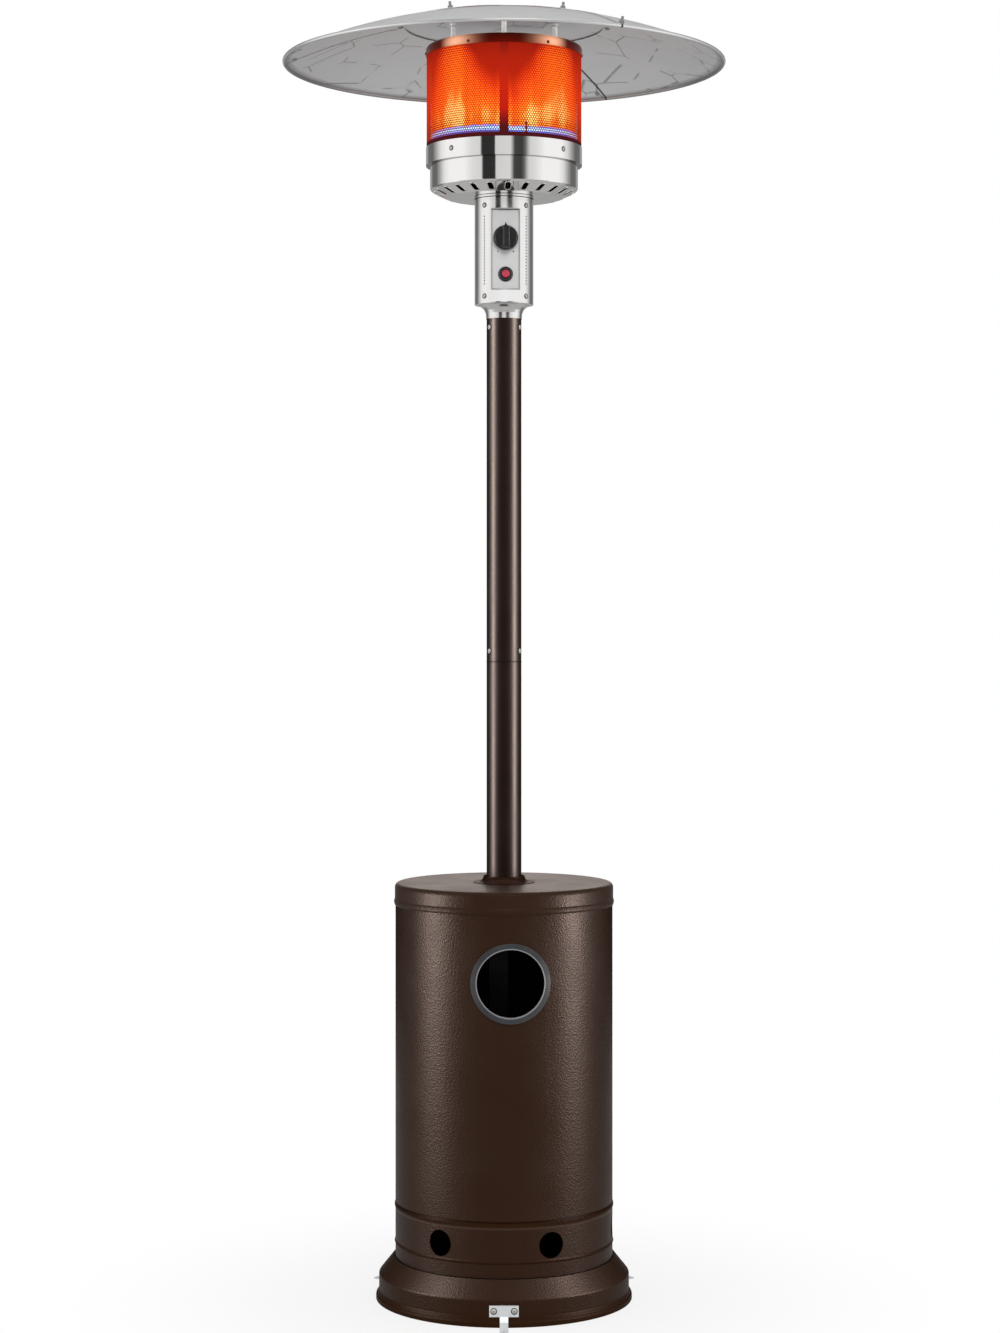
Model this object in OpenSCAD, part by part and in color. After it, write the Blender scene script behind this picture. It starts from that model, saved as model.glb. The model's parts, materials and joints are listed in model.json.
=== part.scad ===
// Free-standing gas patio heater: base, sliding bottle housing, post, control head, burner and reflector

/* [Base] */
// Diameter of the base skirt
base_d = 459; // [440:1:520]
// How far the rolled lip stands out from the skirt
lip_out = 5.5; // [4:0.5:8]
// Height of the rolled lip
lip_h = 18; // [14:1:22]
// Height of the skirt below the sloping shoulder
skirt_h = 50; // [46:1:60]
// Height of the shoulder's upper edge
shoulder_h = 77; // [72:1:110]
// Depth of the seat that the housing stands in
seat_depth = 2; // [2:0.5:5]
// Rise of the bottle tray above the seat
tray_rise = 12; // [10:1:30]
// Thickness of the base sheet
base_sheet = 1.5; // [1:0.1:1.8]

/* [Anchor brackets] */
// Width of the bracket's cross bar
bar_w = 52; // [44:1:64]
// Height of the bracket's cross bar
bar_h = 20; // [16:1:24]
// Width of the bracket's stem and floor tab
stem_w = 15; // [12:1:24]
// Reach of the floor tab past the lip
tab_reach = 44; // [30:1:60]
// Diameter of the anchor hole in the tab
anchor_hole_d = 6.5; // [5:0.5:9]
// Distance from the hole to the end of the tab
anchor_hole_edge = 9; // [8:1:12]
// Distance between the two bracket screws
bracket_screw_span = 36; // [30:1:40]
// Thickness of the bracket strip
bracket_sheet = 2; // [1.5:0.1:3]
// Turn of the brackets about the post
bracket_turn = -3.5; // [-20:0.5:20]

/* [Bottle housing] */
// Diameter of the housing shell
housing_d = 399; // [380:1:410]
// Height from the seat to the top of the lid
housing_h = 686; // [640:1:760]
// Thickness of the housing sheet
housing_sheet = 1; // [0.8:0.1:1.4]
// Height of the lid's skirt
lid_skirt = 40; // [34:1:60]
// Radius of the lid's upper edge
lid_round = 8; // [6:0.5:12]
// Height of the rolled bead at the lid's lower edge
lid_bead_h = 12; // [8:1:16]
// How far the beads stand out
bead_out = 1.5; // [1:0.1:2.5]
// Height of the upper shell bead above the seat
high_bead_z = 97; // [94:1:120]
// Height of the lower shell bead above the seat
low_bead_z = 30.5; // [20:0.5:30.5]
// Width of the upper shell bead
high_bead_h = 12; // [6:1:16]
// Width of the lower shell bead
low_bead_h = 6; // [4:1:8]
// Diameter of the air holes
vent_d = 47; // [36:1:48]
// Height of the air holes above the seat
vent_z = 58.5; // [58:0.5:62]
// Number of air holes
vent_count = 6; // [4:1:8]
// Turn of the air holes about the post
vent_turn = 21.5; // [0:0.5:30]
// Clear diameter of the window
window_d = 121; // [80:1:150]
// Distance from the lid's top down to the window's centre
window_drop = 161.5; // [150:0.5:260]
// Width of the window's trim ring
window_rim = 11; // [6:0.5:16]
// Thickness of the trim ring
window_ring_t = 1.6; // [1:0.1:3]
// Foot diameter of the lid collar
collar_d = 113; // [104:1:140]
// Height of the lid collar
collar_h = 12; // [9:1:20]
// Gap between the collar and the post
guide_gap = 5; // [4.5:0.5:10]

/* [Support frame] */
// Width of a support leg
leg_w = 36; // [24:1:50]
// Depth of the leg's channel
leg_depth = 12; // [8:1:18]
// Thickness of the leg sheet
leg_sheet = 1.5; // [1.2:0.1:2.5]
// Length of the leg's end tabs
leg_tab = 28; // [22:1:36]
// Gap from a leg to the housing wall
leg_gap = 20.5; // [16:0.5:26]
// Turn of the two side legs from the front
leg_turn = 86; // [70:1:100]
// Distance from the lid's top down to the top plate
plate_drop = 31; // [26:1:60]
// Thickness of the top plate
plate_sheet = 2; // [1.5:0.1:3]
// Depth of the top plate's turned-down rim
plate_rim = 12; // [8:1:20]
// Diameter of the hose hole in the top plate
plate_hole_d = 44; // [30:1:50]

/* [Post] */
// Diameter of the post
post_d = 64; // [58:0.5:70]
// Wall of the post tube
post_wall = 1.6; // [1.2:0.1:2.5]
// Length of the lower post
lower_post_l = 436.5; // [380:0.5:600]
// Length of the upper post
upper_post_l = 629.5; // [500:0.5:800]
// Length of the spigot that joins the two posts
spigot_l = 55; // [40:1:80]
// Diameter of the post's foot flange
flange_d = 108; // [106:1:130]
// Thickness of the foot flange
flange_t = 4; // [3:0.5:6]
// Height of the joint screws above the seam
joint_screw_up = 19.5; // [12:0.5:30]
// Depth of the neck screws below the post's top
neck_screw_down = 16; // [10:0.5:24]

/* [Control head] */
// Height of the neck's straight ring
neck_ring_h = 5; // [3:0.5:10]
// Thickness of the neck sheet
neck_sheet = 1.2; // [1:0.1:1.6]
// Length of the neck spigot inside the post
neck_spigot_l = 40; // [30:1:60]
// Diameter of the control housing
head_d = 108; // [104:1:120]
// Height of the control housing
head_h = 189; // [184:1:230]
// Thickness of the control housing sheet
head_sheet = 1.2; // [1:0.1:1.5]
// Distance from the housing's ends to its screws
head_screw_edge = 11.5; // [8:0.5:13]
// Width of the control panel
panel_w = 53; // [50:0.5:58]
// Height of the control panel
panel_h = 149; // [140:1:150]
// Height of the panel's lower edge in the housing
panel_up = 21.8; // [20:0.1:23]
// Thickness of the panel sheet
panel_sheet = 1.2; // [1:0.1:1.6]
// Diameter of a perforation in the control housing
perf_d = 2.8; // [1.5:0.1:4]
// Distance between perforations
perf_pitch = 5.6; // [5:0.1:10]

/* [Valve and igniter] */
// Height of the knob's axis above the panel's lower edge
knob_up = 95; // [88:1:104]
// Diameter of the control knob
knob_d = 45.5; // [40:0.5:48]
// Depth of the control knob
knob_l = 27; // [22:1:34]
// Travel of the knob when it is pushed
knob_push = 4; // [2:0.5:6]
// Width of the valve body
valve_w = 36; // [30:1:44]
// Height of the valve body
valve_h = 40; // [36:1:48]
// Diameter of the valve's stem
stem_d = 8; // [6:0.5:9]
// Diameter of the valve's plug
plug_d = 16; // [14:0.5:20]
// Length of the valve's plug
plug_l = 28; // [22:1:32]
// Height of the igniter above the panel's lower edge
igniter_up = 29; // [24:1:32]
// Diameter of the igniter's bezel
bezel_d = 27; // [24:0.5:30]
// Diameter of the igniter's button
button_d = 14; // [10:0.5:16]
// Travel of the igniter's button
button_push = 6; // [3:0.5:8]
// Length of the igniter's barrel behind the panel
barrel_l = 32; // [26:1:34]

/* [Burner] */
// Diameter of the burner bowl
bowl_d = 272; // [250:1:300]
// Diameter of the flat floor of the bowl
floor_d = 208; // [190:1:220]
// Slope of the bowl's underside
bowl_slope = 25; // [15:1:35]
// Radius of the bowl's lower corner
bowl_corner = 6; // [4:0.5:10]
// Height of the bowl above the control housing
bowl_h = 65; // [56:1:80]
// Height of the ring under the bowl
bowl_ring_h = 6; // [4:0.5:10]
// Thickness of the bowl sheet
bowl_sheet = 1.2; // [1:0.1:1.6]
// Number of air slots under the bowl
slot_count = 24; // [12:1:24]
// Length of an air slot
slot_l = 24; // [16:1:26]
// Width of an air slot
slot_w = 10; // [6:0.5:12]
// How far the band stands out past the bowl
band_out = 7.5; // [5:0.5:14]
// Height of the burner band
band_h = 32; // [26:1:44]
// Thickness of the burner band
band_sheet = 1; // [0.8:0.1:1.5]
// Diameter of the venturi tube
venturi_d = 26; // [22:1:32]
// Diameter of the burner pan
pan_d = 236; // [200:1:244]
// Height of the burner pan's wall
pan_wall_h = 22; // [16:1:26]
// Number of flame slots in the burner plate
flame_count = 60; // [24:1:72]
// Length of a flame slot
flame_l = 14; // [8:1:18]
// Width of a flame slot
flame_w = 2; // [1:0.1:3]

/* [Emitter] */
// Height of the emitter screen
screen_h = 212; // [170:1:260]
// Thickness of the emitter screen
screen_sheet = 0.8; // [0.6:0.1:1.2]
// Width of an opening in the screen
screen_hole_w = 14; // [8:0.5:18]
// Height of an opening in the screen
screen_hole_h = 12; // [6:0.5:14]
// Openings around the screen
screen_columns = 36; // [24:1:38]
// Rows of openings up the screen
screen_rows = 8; // [5:1:9]
// Width of the screen's lapped seam
screen_seam = 16; // [10:1:20]
// Height of the screen cap's skirt
cap_skirt = 18; // [14:1:26]
// Radius of the cap's shoulder
cap_round = 7; // [4:0.5:9]
// Thickness of the cap sheet
cap_sheet = 1; // [0.8:0.1:1.5]

/* [Reflector] */
// Diameter of the reflector
reflector_d = 813; // [700:1:900]
// Rise of the reflector's dome
dome_h = 85; // [70:1:120]
// Thickness of the reflector sheet
dome_sheet = 1; // [0.8:0.1:1.5]
// Diameter of the central disc
disc_d = 396; // [360:1:440]
// Overlap of the disc on the panels
disc_lap = 15; // [14:0.5:24]
// Overlap of one panel on the next
seam_lap = 22; // [18:1:34]
// Diameter of the rolled hem
hem_d = 7; // [5:0.5:10]
// Length of the stand-off tubes
standoff_l = 49; // [36:1:70]
// Diameter of the stand-off tubes
standoff_d = 9.5; // [8:0.5:12]
// Radius at which the stand-offs stand
standoff_r = 109; // [80:1:120]
// Turn of the reflector about the post
reflector_turn = -3.5; // [-20:0.5:20]

/* [Clearances] */
// Gap between pieces that are fitted together by hand
fit = 0.2; // [0.15:0.05:0.4]
// Radial clearance of a turning or sliding shaft
running = 0.05; // [0.03:0.01:0.08]
// Gap between the housing and what it slides past
slide_gap = 1; // [0.5:0.1:2]

/* [Hidden] */
$fn = 64;

// A cut runs this far past the face that it goes through
past = 1;
third = 360 / 3;

// Radii that follow from the diameters
base_r = base_d / 2;
lip_r = base_r + lip_out;
housing_r = housing_d / 2;
post_r = post_d / 2;
head_r = head_d / 2;
bowl_r = bowl_d / 2;

// Screws and bolts, by thread size
m4 = [2, 4, 2.4];
m5 = [2.5, 4.8, 3];
m8 = [4, 6.5, 5.3];
nut_h = 4;
nut_d = 9.2;
m8_nut_h = 6.4;
m8_nut_d = 15;
screw_reach = 6;

// Heights of the base and the housing, from the floor
seat_z = shoulder_h - seat_depth;
tray_z = seat_z + tray_rise;
lid_top = seat_z + housing_h;
lid_r = housing_r + fit + housing_sheet;
seat_wall = 4;
shoulder_r = housing_r + slide_gap + seat_wall;
tray_round = 4;
tray_r = housing_r - housing_sheet - 2 * slide_gap;
skirt_round = 6;
collar_r = post_r + guide_gap;
shell_flange = 14;

// Support frame
leg_r = housing_r - housing_sheet - leg_gap - leg_depth;
leg_angles = [-leg_turn, leg_turn, 180];
plate_top = lid_top - plate_drop;
plate_under = plate_top - plate_sheet;
plate_margin = 5;
plate_r = leg_r + leg_depth + plate_margin + plate_sheet;
tab_bolt_r = leg_r - leg_tab / 2;
flange_bolt_r = (flange_d / 2 + post_r) / 2;

// Post
seam_z = plate_top + lower_post_l;
post_top = seam_z + upper_post_l;
post_in_r = post_r - post_wall;
post_angles = [-60, 60, 180];

// Control head
neck_r = post_r + 1;
neck_flare = head_r - neck_r;
head_z = post_top + neck_ring_h + neck_flare + neck_sheet;
head_top = head_z + head_h;
head_in_r = head_r - head_sheet;
panel_z = head_z + panel_up;
panel_top = panel_z + panel_h;
panel_inset = 1.5;
panel_front = sqrt(head_r * head_r - panel_w * panel_w / 4) - panel_inset;
panel_back = panel_front - panel_sheet;
upstand_clear = 1.5;
quarter_angles = [45, 135, 225, 315];
perf_ends = 12;
perf_rows = floor((panel_h - 2 * perf_ends) / perf_pitch);

// Valve, knob and igniter
knob_z = panel_z + knob_up;
stem_hole_r = stem_d / 2 + 1.5;
valve_back = 9;
valve_screw_x = 13;
knob_gap = 1.9;
knob_rear = panel_front + knob_push + knob_gap;
knob_front = knob_rear + knob_l;
knob_dish = 4;
knob_wall = 2;
knob_skirt = knob_l * 0.35;
knob_waist_d = knob_d * 0.96;
knob_face_d = knob_d * 0.86;
grip_w = 11;
grip_l = knob_d * 0.92;
pointer_w = 7;
pointer_l = 5;
key_flat = 0.8;
stem_in = 20;
igniter_z = panel_z + igniter_up;
barrel_r = button_d / 2 + 2;
bezel_t = 5;
button_out = 6;
button_tail = 4;
button_room = 2 * button_push + button_tail;
button_edge = 1.5;
barrel_flange = 2;
switch_r = 9;
switch_h = 30;
switch_pin_h = 6;

// Gas fittings
inlet_hex_d = 20;
inlet_hex_h = 12;
inlet_d = 15;
inlet_l = 14;
inlet_nose = 6;
inlet_bore = 5;
injector_hex_d = 16;
injector_hex_h = 8;
injector_d = 11;
injector_tip_d = 7;
injector_bore = 2;

// Burner
bowl_floor = head_top + bowl_ring_h;
bowl_top = head_top + bowl_h;
band_r = bowl_r + band_out;
spigot_r = head_in_r - fit;
bowl_spigot = head_top - panel_top - upstand_clear;
corner_r = bowl_r - bowl_corner + bowl_corner * sin(bowl_slope);
corner_z = bowl_floor + (corner_r - floor_d / 2) * tan(bowl_slope) + bowl_corner * cos(bowl_slope);
slot_r = (floor_d / 2 + corner_r) / 2;
seat_top = bowl_top + bowl_sheet;
band_top = seat_top + band_h;
support_drop = 2;
support_z = head_top - support_drop;
support_round = 4;
air_hole_r = 8;
air_hole_count = 6;
venturi_r = venturi_d / 2;
venturi_wall = 1.2;
venturi_flange = 8;
pan_r = pan_d / 2;
pan_drop = 1;
pan_top = band_top - pan_drop;
pan_sheet = 1.2;
pan_edge = 6;
throat_drop = 20;
throat_h = 12;
pan_throat = pan_top - pan_wall_h - throat_drop;
venturi_top = pan_throat + throat_h;
mixer_l = 24;
venturi_low = support_z - mixer_l;
injector_in = 4;
injector_top = venturi_low + injector_in;
flame_edge = 5;
flame_r = pan_r - flame_edge - flame_l / 2;

// Pilot group, on a bracket inside the bowl's wall
pilot_angle = 15;
pilot_sweep = 12;
pilot_step = 8;
pilot_drop = 8;
pilot_z = bowl_top - pilot_drop;
pilot_sheet = 1.5;
pilot_lug = 14;
pilot_gap = 2;
pilot_r = (pan_r + bowl_r - bowl_sheet) / 2;
pilot_tail = 16;
pilot_tube_r = 3.5;
pilot_tube_l = 60;
pilot_bore_r = 1.5;
pilot_port_r = 1.2;
pilot_port_z = 36;
probe_r = 1.8;
probe_l = 84;
probe_tip = 4;
rod_r = 3;
rod_l = 48;
wire_r = 1;
wire_l = 14;
gland_r = 5;
gland_h = 5;

// Emitter
screen_r = band_r - band_sheet - fit;
screen_top = seat_top + screen_h;
cap_r = screen_r + fit + cap_sheet;
cap_top = screen_top + cap_round - cap_sheet;
cap_low = cap_top - cap_skirt;
cap_screw_z = cap_low + cap_skirt / 4;
screen_margin = 9;
screen_hole_low = band_top + screen_margin;
screen_hole_high = cap_low - screen_margin;
screen_row_step = (screen_hole_high - screen_hole_low) / (screen_rows - 1);
cap_screw_count = 6;

// Reflector: one dome for the panels, a level above for their laps and one more for the disc
reflector_r = reflector_d / 2;
sheet_r = reflector_r - hem_d / 2;
dome_r = (sheet_r * sheet_r + dome_h * dome_h) / (2 * dome_h);
level = dome_sheet + fit;
disc_r = disc_d / 2;
panel_in_r = disc_r - disc_lap;
standoff_edge = standoff_r + standoff_d / 2;
disc_under = dome_r + 2 * level - dome_sheet;
dome_z = cap_top + standoff_l + fit - sqrt(disc_under * disc_under - standoff_edge * standoff_edge);
hem_z = dome_z + sqrt(dome_r * dome_r - sheet_r * sheet_r) - dome_sheet / 2;
lap_out_r = sheet_r - hem_d / 2 - 2;
rim_bolt_r = lap_out_r - 12;
disc_bolt_r = disc_r - disc_lap / 2;
panel_slit = 0.06;
riser_w = 2.5;
bolt_stand = 11;
seam_bolt_in = seam_lap / 2;

// Points on an arc of a profile, from one angle to another
function arc(c, r, a, b, n = 6) =
    [for (i = [0:n]) c + r * [cos(a + (b - a) * i / n), sin(a + (b - a) * i / n)]];

// Direction to the left of a step from one point to the next
function left_of(p, q) = [p[1] - q[1], q[0] - p[0]] / norm(q - p);

// Point i of a profile line, moved to the left by the sheet's thickness
function moved(p, i, t) =
    i == 0 ? p[0] + t * left_of(p[0], p[1]) :
    i == len(p) - 1 ? p[i] + t * left_of(p[i - 1], p[i]) :
    let (a = left_of(p[i - 1], p[i]), b = left_of(p[i], p[i + 1])) p[i] + t * (a + b) / (1 + a * b);

// Outline of a sheet that lies on the left of a profile line
function sheet_outline(p, t) = concat(p, [for (i = [len(p) - 1:-1:0]) moved(p, i, t)]);

// Half-round bead on a wall of radius r that runs up, at height z
function bead(r, z, h) =
    [[r, z - h / 2], [r + bead_out * 0.7, z - h / 4], [r + bead_out, z],
    [r + bead_out * 0.7, z + h / 4], [r, z + h / 2]];

// Sheet spun about the post's axis
module spun(line, t) {
    rotate_extrude() polygon(sheet_outline(line, t));
}

// Places a piece made on +X at an angle from the front, which faces -Y
module turned(angle) {
    rotate([0, 0, angle - 90]) children();
}

// Tube that stands on z = 0
module tube(r, wall, h) {
    difference() {
        cylinder(r = r, h = h);
        translate([0, 0, -past]) cylinder(r = r - wall, h = h + 2 * past);
    }
}

// Pan-head screw that points to -Z, with the head's underside at z = 0
module screw(size, reach) {
    rim = size[2] * 0.45;
    translate([0, 0, -reach]) cylinder(r = size[0], h = reach + rim);
    cylinder(r = size[1], h = rim);
    translate([0, 0, rim]) cylinder(r1 = size[1], r2 = size[1] * 0.62, h = size[2] - rim);
}

// Hexagon bolt that points to -Z, with the head's underside at z = 0
module hex_bolt(size, reach) {
    translate([0, 0, -reach]) cylinder(r = size[0], h = reach + size[2] / 2);
    cylinder(r = size[1] * 1.15, h = size[2], $fn = 6);
}

// Hexagon nut that stands on z = 0
module hex_nut(r, d, h) {
    difference() {
        cylinder(r = d / 2, h = h, $fn = 6);
        translate([0, 0, -past]) cylinder(r = r + running, h = h + 2 * past);
    }
}

// Screw that goes into a round wall of radius r at height z
module wall_screw(size, angle, r, z, reach) {
    turned(angle) translate([r + running, 0, z]) rotate([0, 90, 0]) screw(size, reach);
}

// Clearance hole for such a screw
module wall_hole(size, angle, r, z) {
    turned(angle) translate([r - 2 * screw_reach, 0, z]) rotate([0, 90, 0])
        cylinder(r = size[0] + fit / 2, h = 4 * screw_reach);
}

// Slot with round ends along +X, centred, cut through height h
module slot(l, w, h) {
    translate([-(l - w) / 2, -w / 2, 0]) cube([l - w, w, h]);
    for (side = [-1, 1]) translate([side * (l - w) / 2, 0, 0]) cylinder(r = w / 2, h = h);
}

// Base
bracket_r = base_r + fit / 2;
bracket_low_r = lip_r + fit;
bracket_tip_r = lip_r + tab_reach;
bar_low = lip_h + fit;
bar_z = bar_low + bar_h / 2;
foot_bolt_reach = 12;

module base_pan() {
    line = concat(
        [[lip_r, 0]],
        arc([lip_r - lip_out, lip_h / 3], lip_out, 0, 60),
        [[base_r, lip_h]],
        arc([base_r - skirt_round, skirt_h - skirt_round], skirt_round, 0, 40),
        [[shoulder_r, shoulder_h], [shoulder_r - seat_wall, shoulder_h], [shoulder_r - seat_wall, seat_z],
        [tray_r, seat_z]],
        arc([tray_r - tray_round, tray_z - tray_round], tray_round, 0, 90),
        [[0, tray_z]]);
    color("#33251c") difference() {
        spun(line, base_sheet);
        for (a = leg_angles) turned(a)
            translate([tab_bolt_r, 0, tray_z - 2 * base_sheet]) cylinder(r = m8[0] + fit, h = 4 * base_sheet);
        for (i = [0:2], side = [-1, 1]) turned(bracket_turn + third * i)
            translate([base_r - 2 * screw_reach, side * bracket_screw_span / 2, bar_z]) rotate([0, 90, 0])
                cylinder(r = m5[0] + fit / 2, h = 4 * screw_reach);
    }
}

module anchor_bracket(i) {
    line = [[bracket_r, bar_z + bar_h / 2], [bracket_r, bar_low], [bracket_low_r, lip_h / 2],
        [bracket_low_r, 0], [bracket_tip_r, 0]];
    color("#a9a9a6") turned(bracket_turn + third * i) difference() {
        union() {
            rotate([90, 0, 0]) linear_extrude(stem_w, center = true)
                polygon(sheet_outline(line, bracket_sheet));
            translate([bracket_r, -bar_w / 2, bar_z - bar_h / 2]) cube([bracket_sheet, bar_w, bar_h]);
        }
        translate([bracket_tip_r - anchor_hole_edge, 0, -past])
            cylinder(d = anchor_hole_d, h = bracket_sheet + 2 * past);
        for (side = [-1, 1]) translate([base_r - past, side * bracket_screw_span / 2, bar_z])
            rotate([0, 90, 0]) cylinder(r = m5[0] + fit / 2, h = 2 * screw_reach);
    }
}

module anchor_screws() {
    color("#c9c9c6") for (i = [0:2], side = [-1, 1]) turned(bracket_turn + third * i)
        translate([bracket_r + bracket_sheet, side * bracket_screw_span / 2, bar_z]) rotate([0, 90, 0])
            screw(m5, bracket_sheet + screw_reach);
}

// Support frame
module support_leg(i) {
    leg_h = plate_under - tray_z;
    color("#4a4a48") turned(leg_angles[i]) translate([leg_r, 0, tray_z]) difference() {
        union() {
            translate([0, -leg_w / 2, 0]) cube([leg_sheet, leg_w, leg_h]);
            for (side = [-leg_w / 2, leg_w / 2 - leg_sheet]) translate([0, side, 0])
                cube([leg_depth, leg_sheet, leg_h]);
            for (z = [0, leg_h - leg_sheet]) translate([-leg_tab, -leg_w / 2, z])
                cube([leg_tab + leg_sheet, leg_w, leg_sheet]);
        }
        for (z = [0, leg_h - leg_sheet]) translate([-leg_tab / 2, 0, z - past])
            cylinder(r = m8[0] + fit, h = leg_sheet + 2 * past);
    }
}

module leg_foot_bolts() {
    color("#8d8d8a") for (a = leg_angles) turned(a) translate([tab_bolt_r, 0, tray_z]) {
        translate([0, 0, leg_sheet]) hex_bolt(m8, foot_bolt_reach);
        translate([0, 0, -base_sheet - m8_nut_h]) hex_nut(m8[0], m8_nut_d, m8_nut_h);
    }
}

module leg_head_bolts() {
    color("#8d8d8a") for (a = leg_angles) turned(a) translate([tab_bolt_r, 0, plate_top]) {
        hex_bolt(m8, foot_bolt_reach);
        translate([0, 0, -plate_sheet - leg_sheet - m8_nut_h]) hex_nut(m8[0], m8_nut_d, m8_nut_h);
    }
}

module top_plate() {
    line = concat(
        [[plate_r, plate_top - plate_rim]],
        arc([plate_r - plate_margin, plate_top - plate_margin], plate_margin, 0, 90),
        [[plate_hole_d / 2, plate_top]]);
    color("#4a4a48") difference() {
        spun(line, plate_sheet);
        for (a = leg_angles) turned(a) translate([tab_bolt_r, 0, plate_under - past])
            cylinder(r = m8[0] + fit, h = plate_sheet + 2 * past);
        for (a = quarter_angles) turned(a) translate([flange_bolt_r, 0, plate_under - past])
            cylinder(r = m8[0] + fit, h = plate_sheet + 2 * past);
    }
}

// Lower post: a tube with a foot flange, and a sleeve welded inside whose free end is the spigot
module lower_post() {
    inner_r = post_in_r - fit;
    color("#3a2b22") difference() {
        translate([0, 0, plate_top]) {
            tube(post_r, post_wall, lower_post_l);
            translate([0, 0, lower_post_l - 2 * spigot_l]) tube(inner_r + fit, post_wall + fit, spigot_l);
            translate([0, 0, lower_post_l - 2 * spigot_l]) tube(inner_r, post_wall, 3 * spigot_l);
            tube(flange_d / 2, flange_d / 2 - post_in_r, flange_t);
        }
        for (a = quarter_angles) turned(a) translate([flange_bolt_r, 0, plate_top - past])
            cylinder(r = m8[0] + fit, h = flange_t + 2 * past);
        for (a = post_angles) wall_hole(m5, a, post_r, seam_z + joint_screw_up);
    }
}

module flange_bolts() {
    color("#8d8d8a") for (a = quarter_angles) turned(a) translate([flange_bolt_r, 0, plate_top]) {
        translate([0, 0, flange_t]) hex_bolt(m8, flange_t + plate_sheet + m8_nut_h + 2);
        translate([0, 0, -plate_sheet - m8_nut_h]) hex_nut(m8[0], m8_nut_d, m8_nut_h);
    }
}

module upper_post() {
    color("#3a2b22") difference() {
        translate([0, 0, seam_z]) tube(post_r, post_wall, upper_post_l);
        for (a = post_angles) wall_hole(m5, a, post_r, seam_z + joint_screw_up);
        for (a = post_angles) wall_hole(m5, a, post_r, post_top - neck_screw_down);
    }
}

module post_joint_screws() {
    color("#d8d8d4") for (a = post_angles) wall_screw(m5, a, post_r, seam_z + joint_screw_up, screw_reach);
}

module neck_screws() {
    color("#d8d8d4") for (a = post_angles) wall_screw(m5, a, post_r, post_top - neck_screw_down, screw_reach);
}

// Bottle housing, which slides up the post
module window_cut(d) {
    translate([0, -housing_r, lid_top - window_drop]) rotate([90, 0, 0])
        cylinder(d = d, h = housing_r, center = true);
}

module housing_shell() {
    line = concat(
        [[housing_r, seat_z]],
        bead(housing_r, seat_z + low_bead_z, low_bead_h),
        bead(housing_r, seat_z + high_bead_z, high_bead_h),
        arc([housing_r - lid_round, lid_top - housing_sheet - lid_round], lid_round, 0, 90),
        [[housing_r - shell_flange, lid_top - housing_sheet]]);
    color("#33251c") difference() {
        spun(line, housing_sheet);
        window_cut(window_d + 2 * window_ring_t + 2 * fit);
        for (i = [0:vent_count - 1]) turned(vent_turn + 360 / vent_count * i)
            translate([housing_r / 2, 0, seat_z + vent_z]) rotate([0, 90, 0])
                cylinder(d = vent_d, h = housing_r);
    }
}

module housing_lid() {
    low = lid_top - lid_skirt;
    line = concat(
        bead(lid_r, low + lid_bead_h / 2, lid_bead_h),
        arc([lid_r - lid_round, lid_top - lid_round], lid_round, 0, 90),
        [[collar_r + housing_sheet, lid_top]]);
    color("#33251c") spun(line, housing_sheet);
}

module lid_collar() {
    flare = collar_h - housing_sheet;
    inner = collar_r + housing_sheet;
    line = concat(
        [[collar_d / 2, lid_top + housing_sheet]],
        arc([inner + flare, lid_top + housing_sheet + flare], flare, 270, 180));
    color("#2b1f18") rotate_extrude() polygon(concat(
        [[collar_d / 2, lid_top]], line, [[collar_r, lid_top + collar_h], [collar_r, lid_top]]));
}

module window_ring() {
    sleeve_depth = 6;
    color("#8b8985") difference() {
        union() {
            intersection() {
                window_cut(window_d + 2 * window_rim);
                translate([0, 0, seat_z]) difference() {
                    cylinder(r = housing_r + fit + window_ring_t, h = housing_h);
                    cylinder(r = housing_r + fit, h = housing_h);
                }
            }
            intersection() {
                window_cut(window_d + 2 * window_ring_t);
                translate([0, 0, seat_z]) difference() {
                    cylinder(r = housing_r + fit + window_ring_t, h = housing_h);
                    cylinder(r = housing_r - sleeve_depth, h = housing_h);
                }
            }
        }
        window_cut(window_d);
    }
}

// Control head
module neck_collar() {
    neck_in = post_in_r - fit;
    flare_z = post_top + neck_ring_h;
    line = concat(
        [[neck_in, post_top - neck_spigot_l], [neck_in, post_top], [neck_r, post_top]],
        arc([head_r, flare_z], neck_flare, 180, 90),
        [[head_r, head_z], [spigot_r, head_z], [spigot_r, panel_z - upstand_clear],
        [spigot_r - neck_sheet, panel_z - upstand_clear], [spigot_r - neck_sheet, head_z]],
        arc([head_r, flare_z], neck_flare + neck_sheet, 100, 180),
        [[neck_in - neck_sheet, post_top + neck_sheet], [neck_in - neck_sheet, post_top - neck_spigot_l]]);
    color("#b9b7b3") difference() {
        rotate_extrude() polygon(line);
        for (a = post_angles) wall_hole(m5, a, post_r, post_top - neck_screw_down);
        for (a = quarter_angles) wall_hole(m4, a, head_r, head_z + head_screw_edge);
    }
}

module control_housing() {
    opening = panel_w + 2 * fit;
    color("#bdbbb7") difference() {
        translate([0, 0, head_z]) tube(head_r, head_sheet, head_h);
        translate([-opening / 2, -2 * head_r, panel_z - fit]) cube([opening, 2 * head_r, panel_h + 2 * fit]);
        for (a = quarter_angles, z = [head_z + head_screw_edge, head_top - head_screw_edge])
            wall_hole(m4, a, head_r, z);
        for (a = [45, 135], i = [0:perf_rows]) turned(a)
            translate([-head_d, 0, panel_z + perf_ends + i * perf_pitch]) rotate([0, 90, 0])
                cylinder(d = perf_d, h = 2 * head_d);
    }
}

module control_housing_screws() {
    color("#d8d8d4") for (a = quarter_angles, z = [head_z + head_screw_edge, head_top - head_screw_edge])
        wall_screw(m4, a, head_r, z, screw_reach);
}

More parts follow.
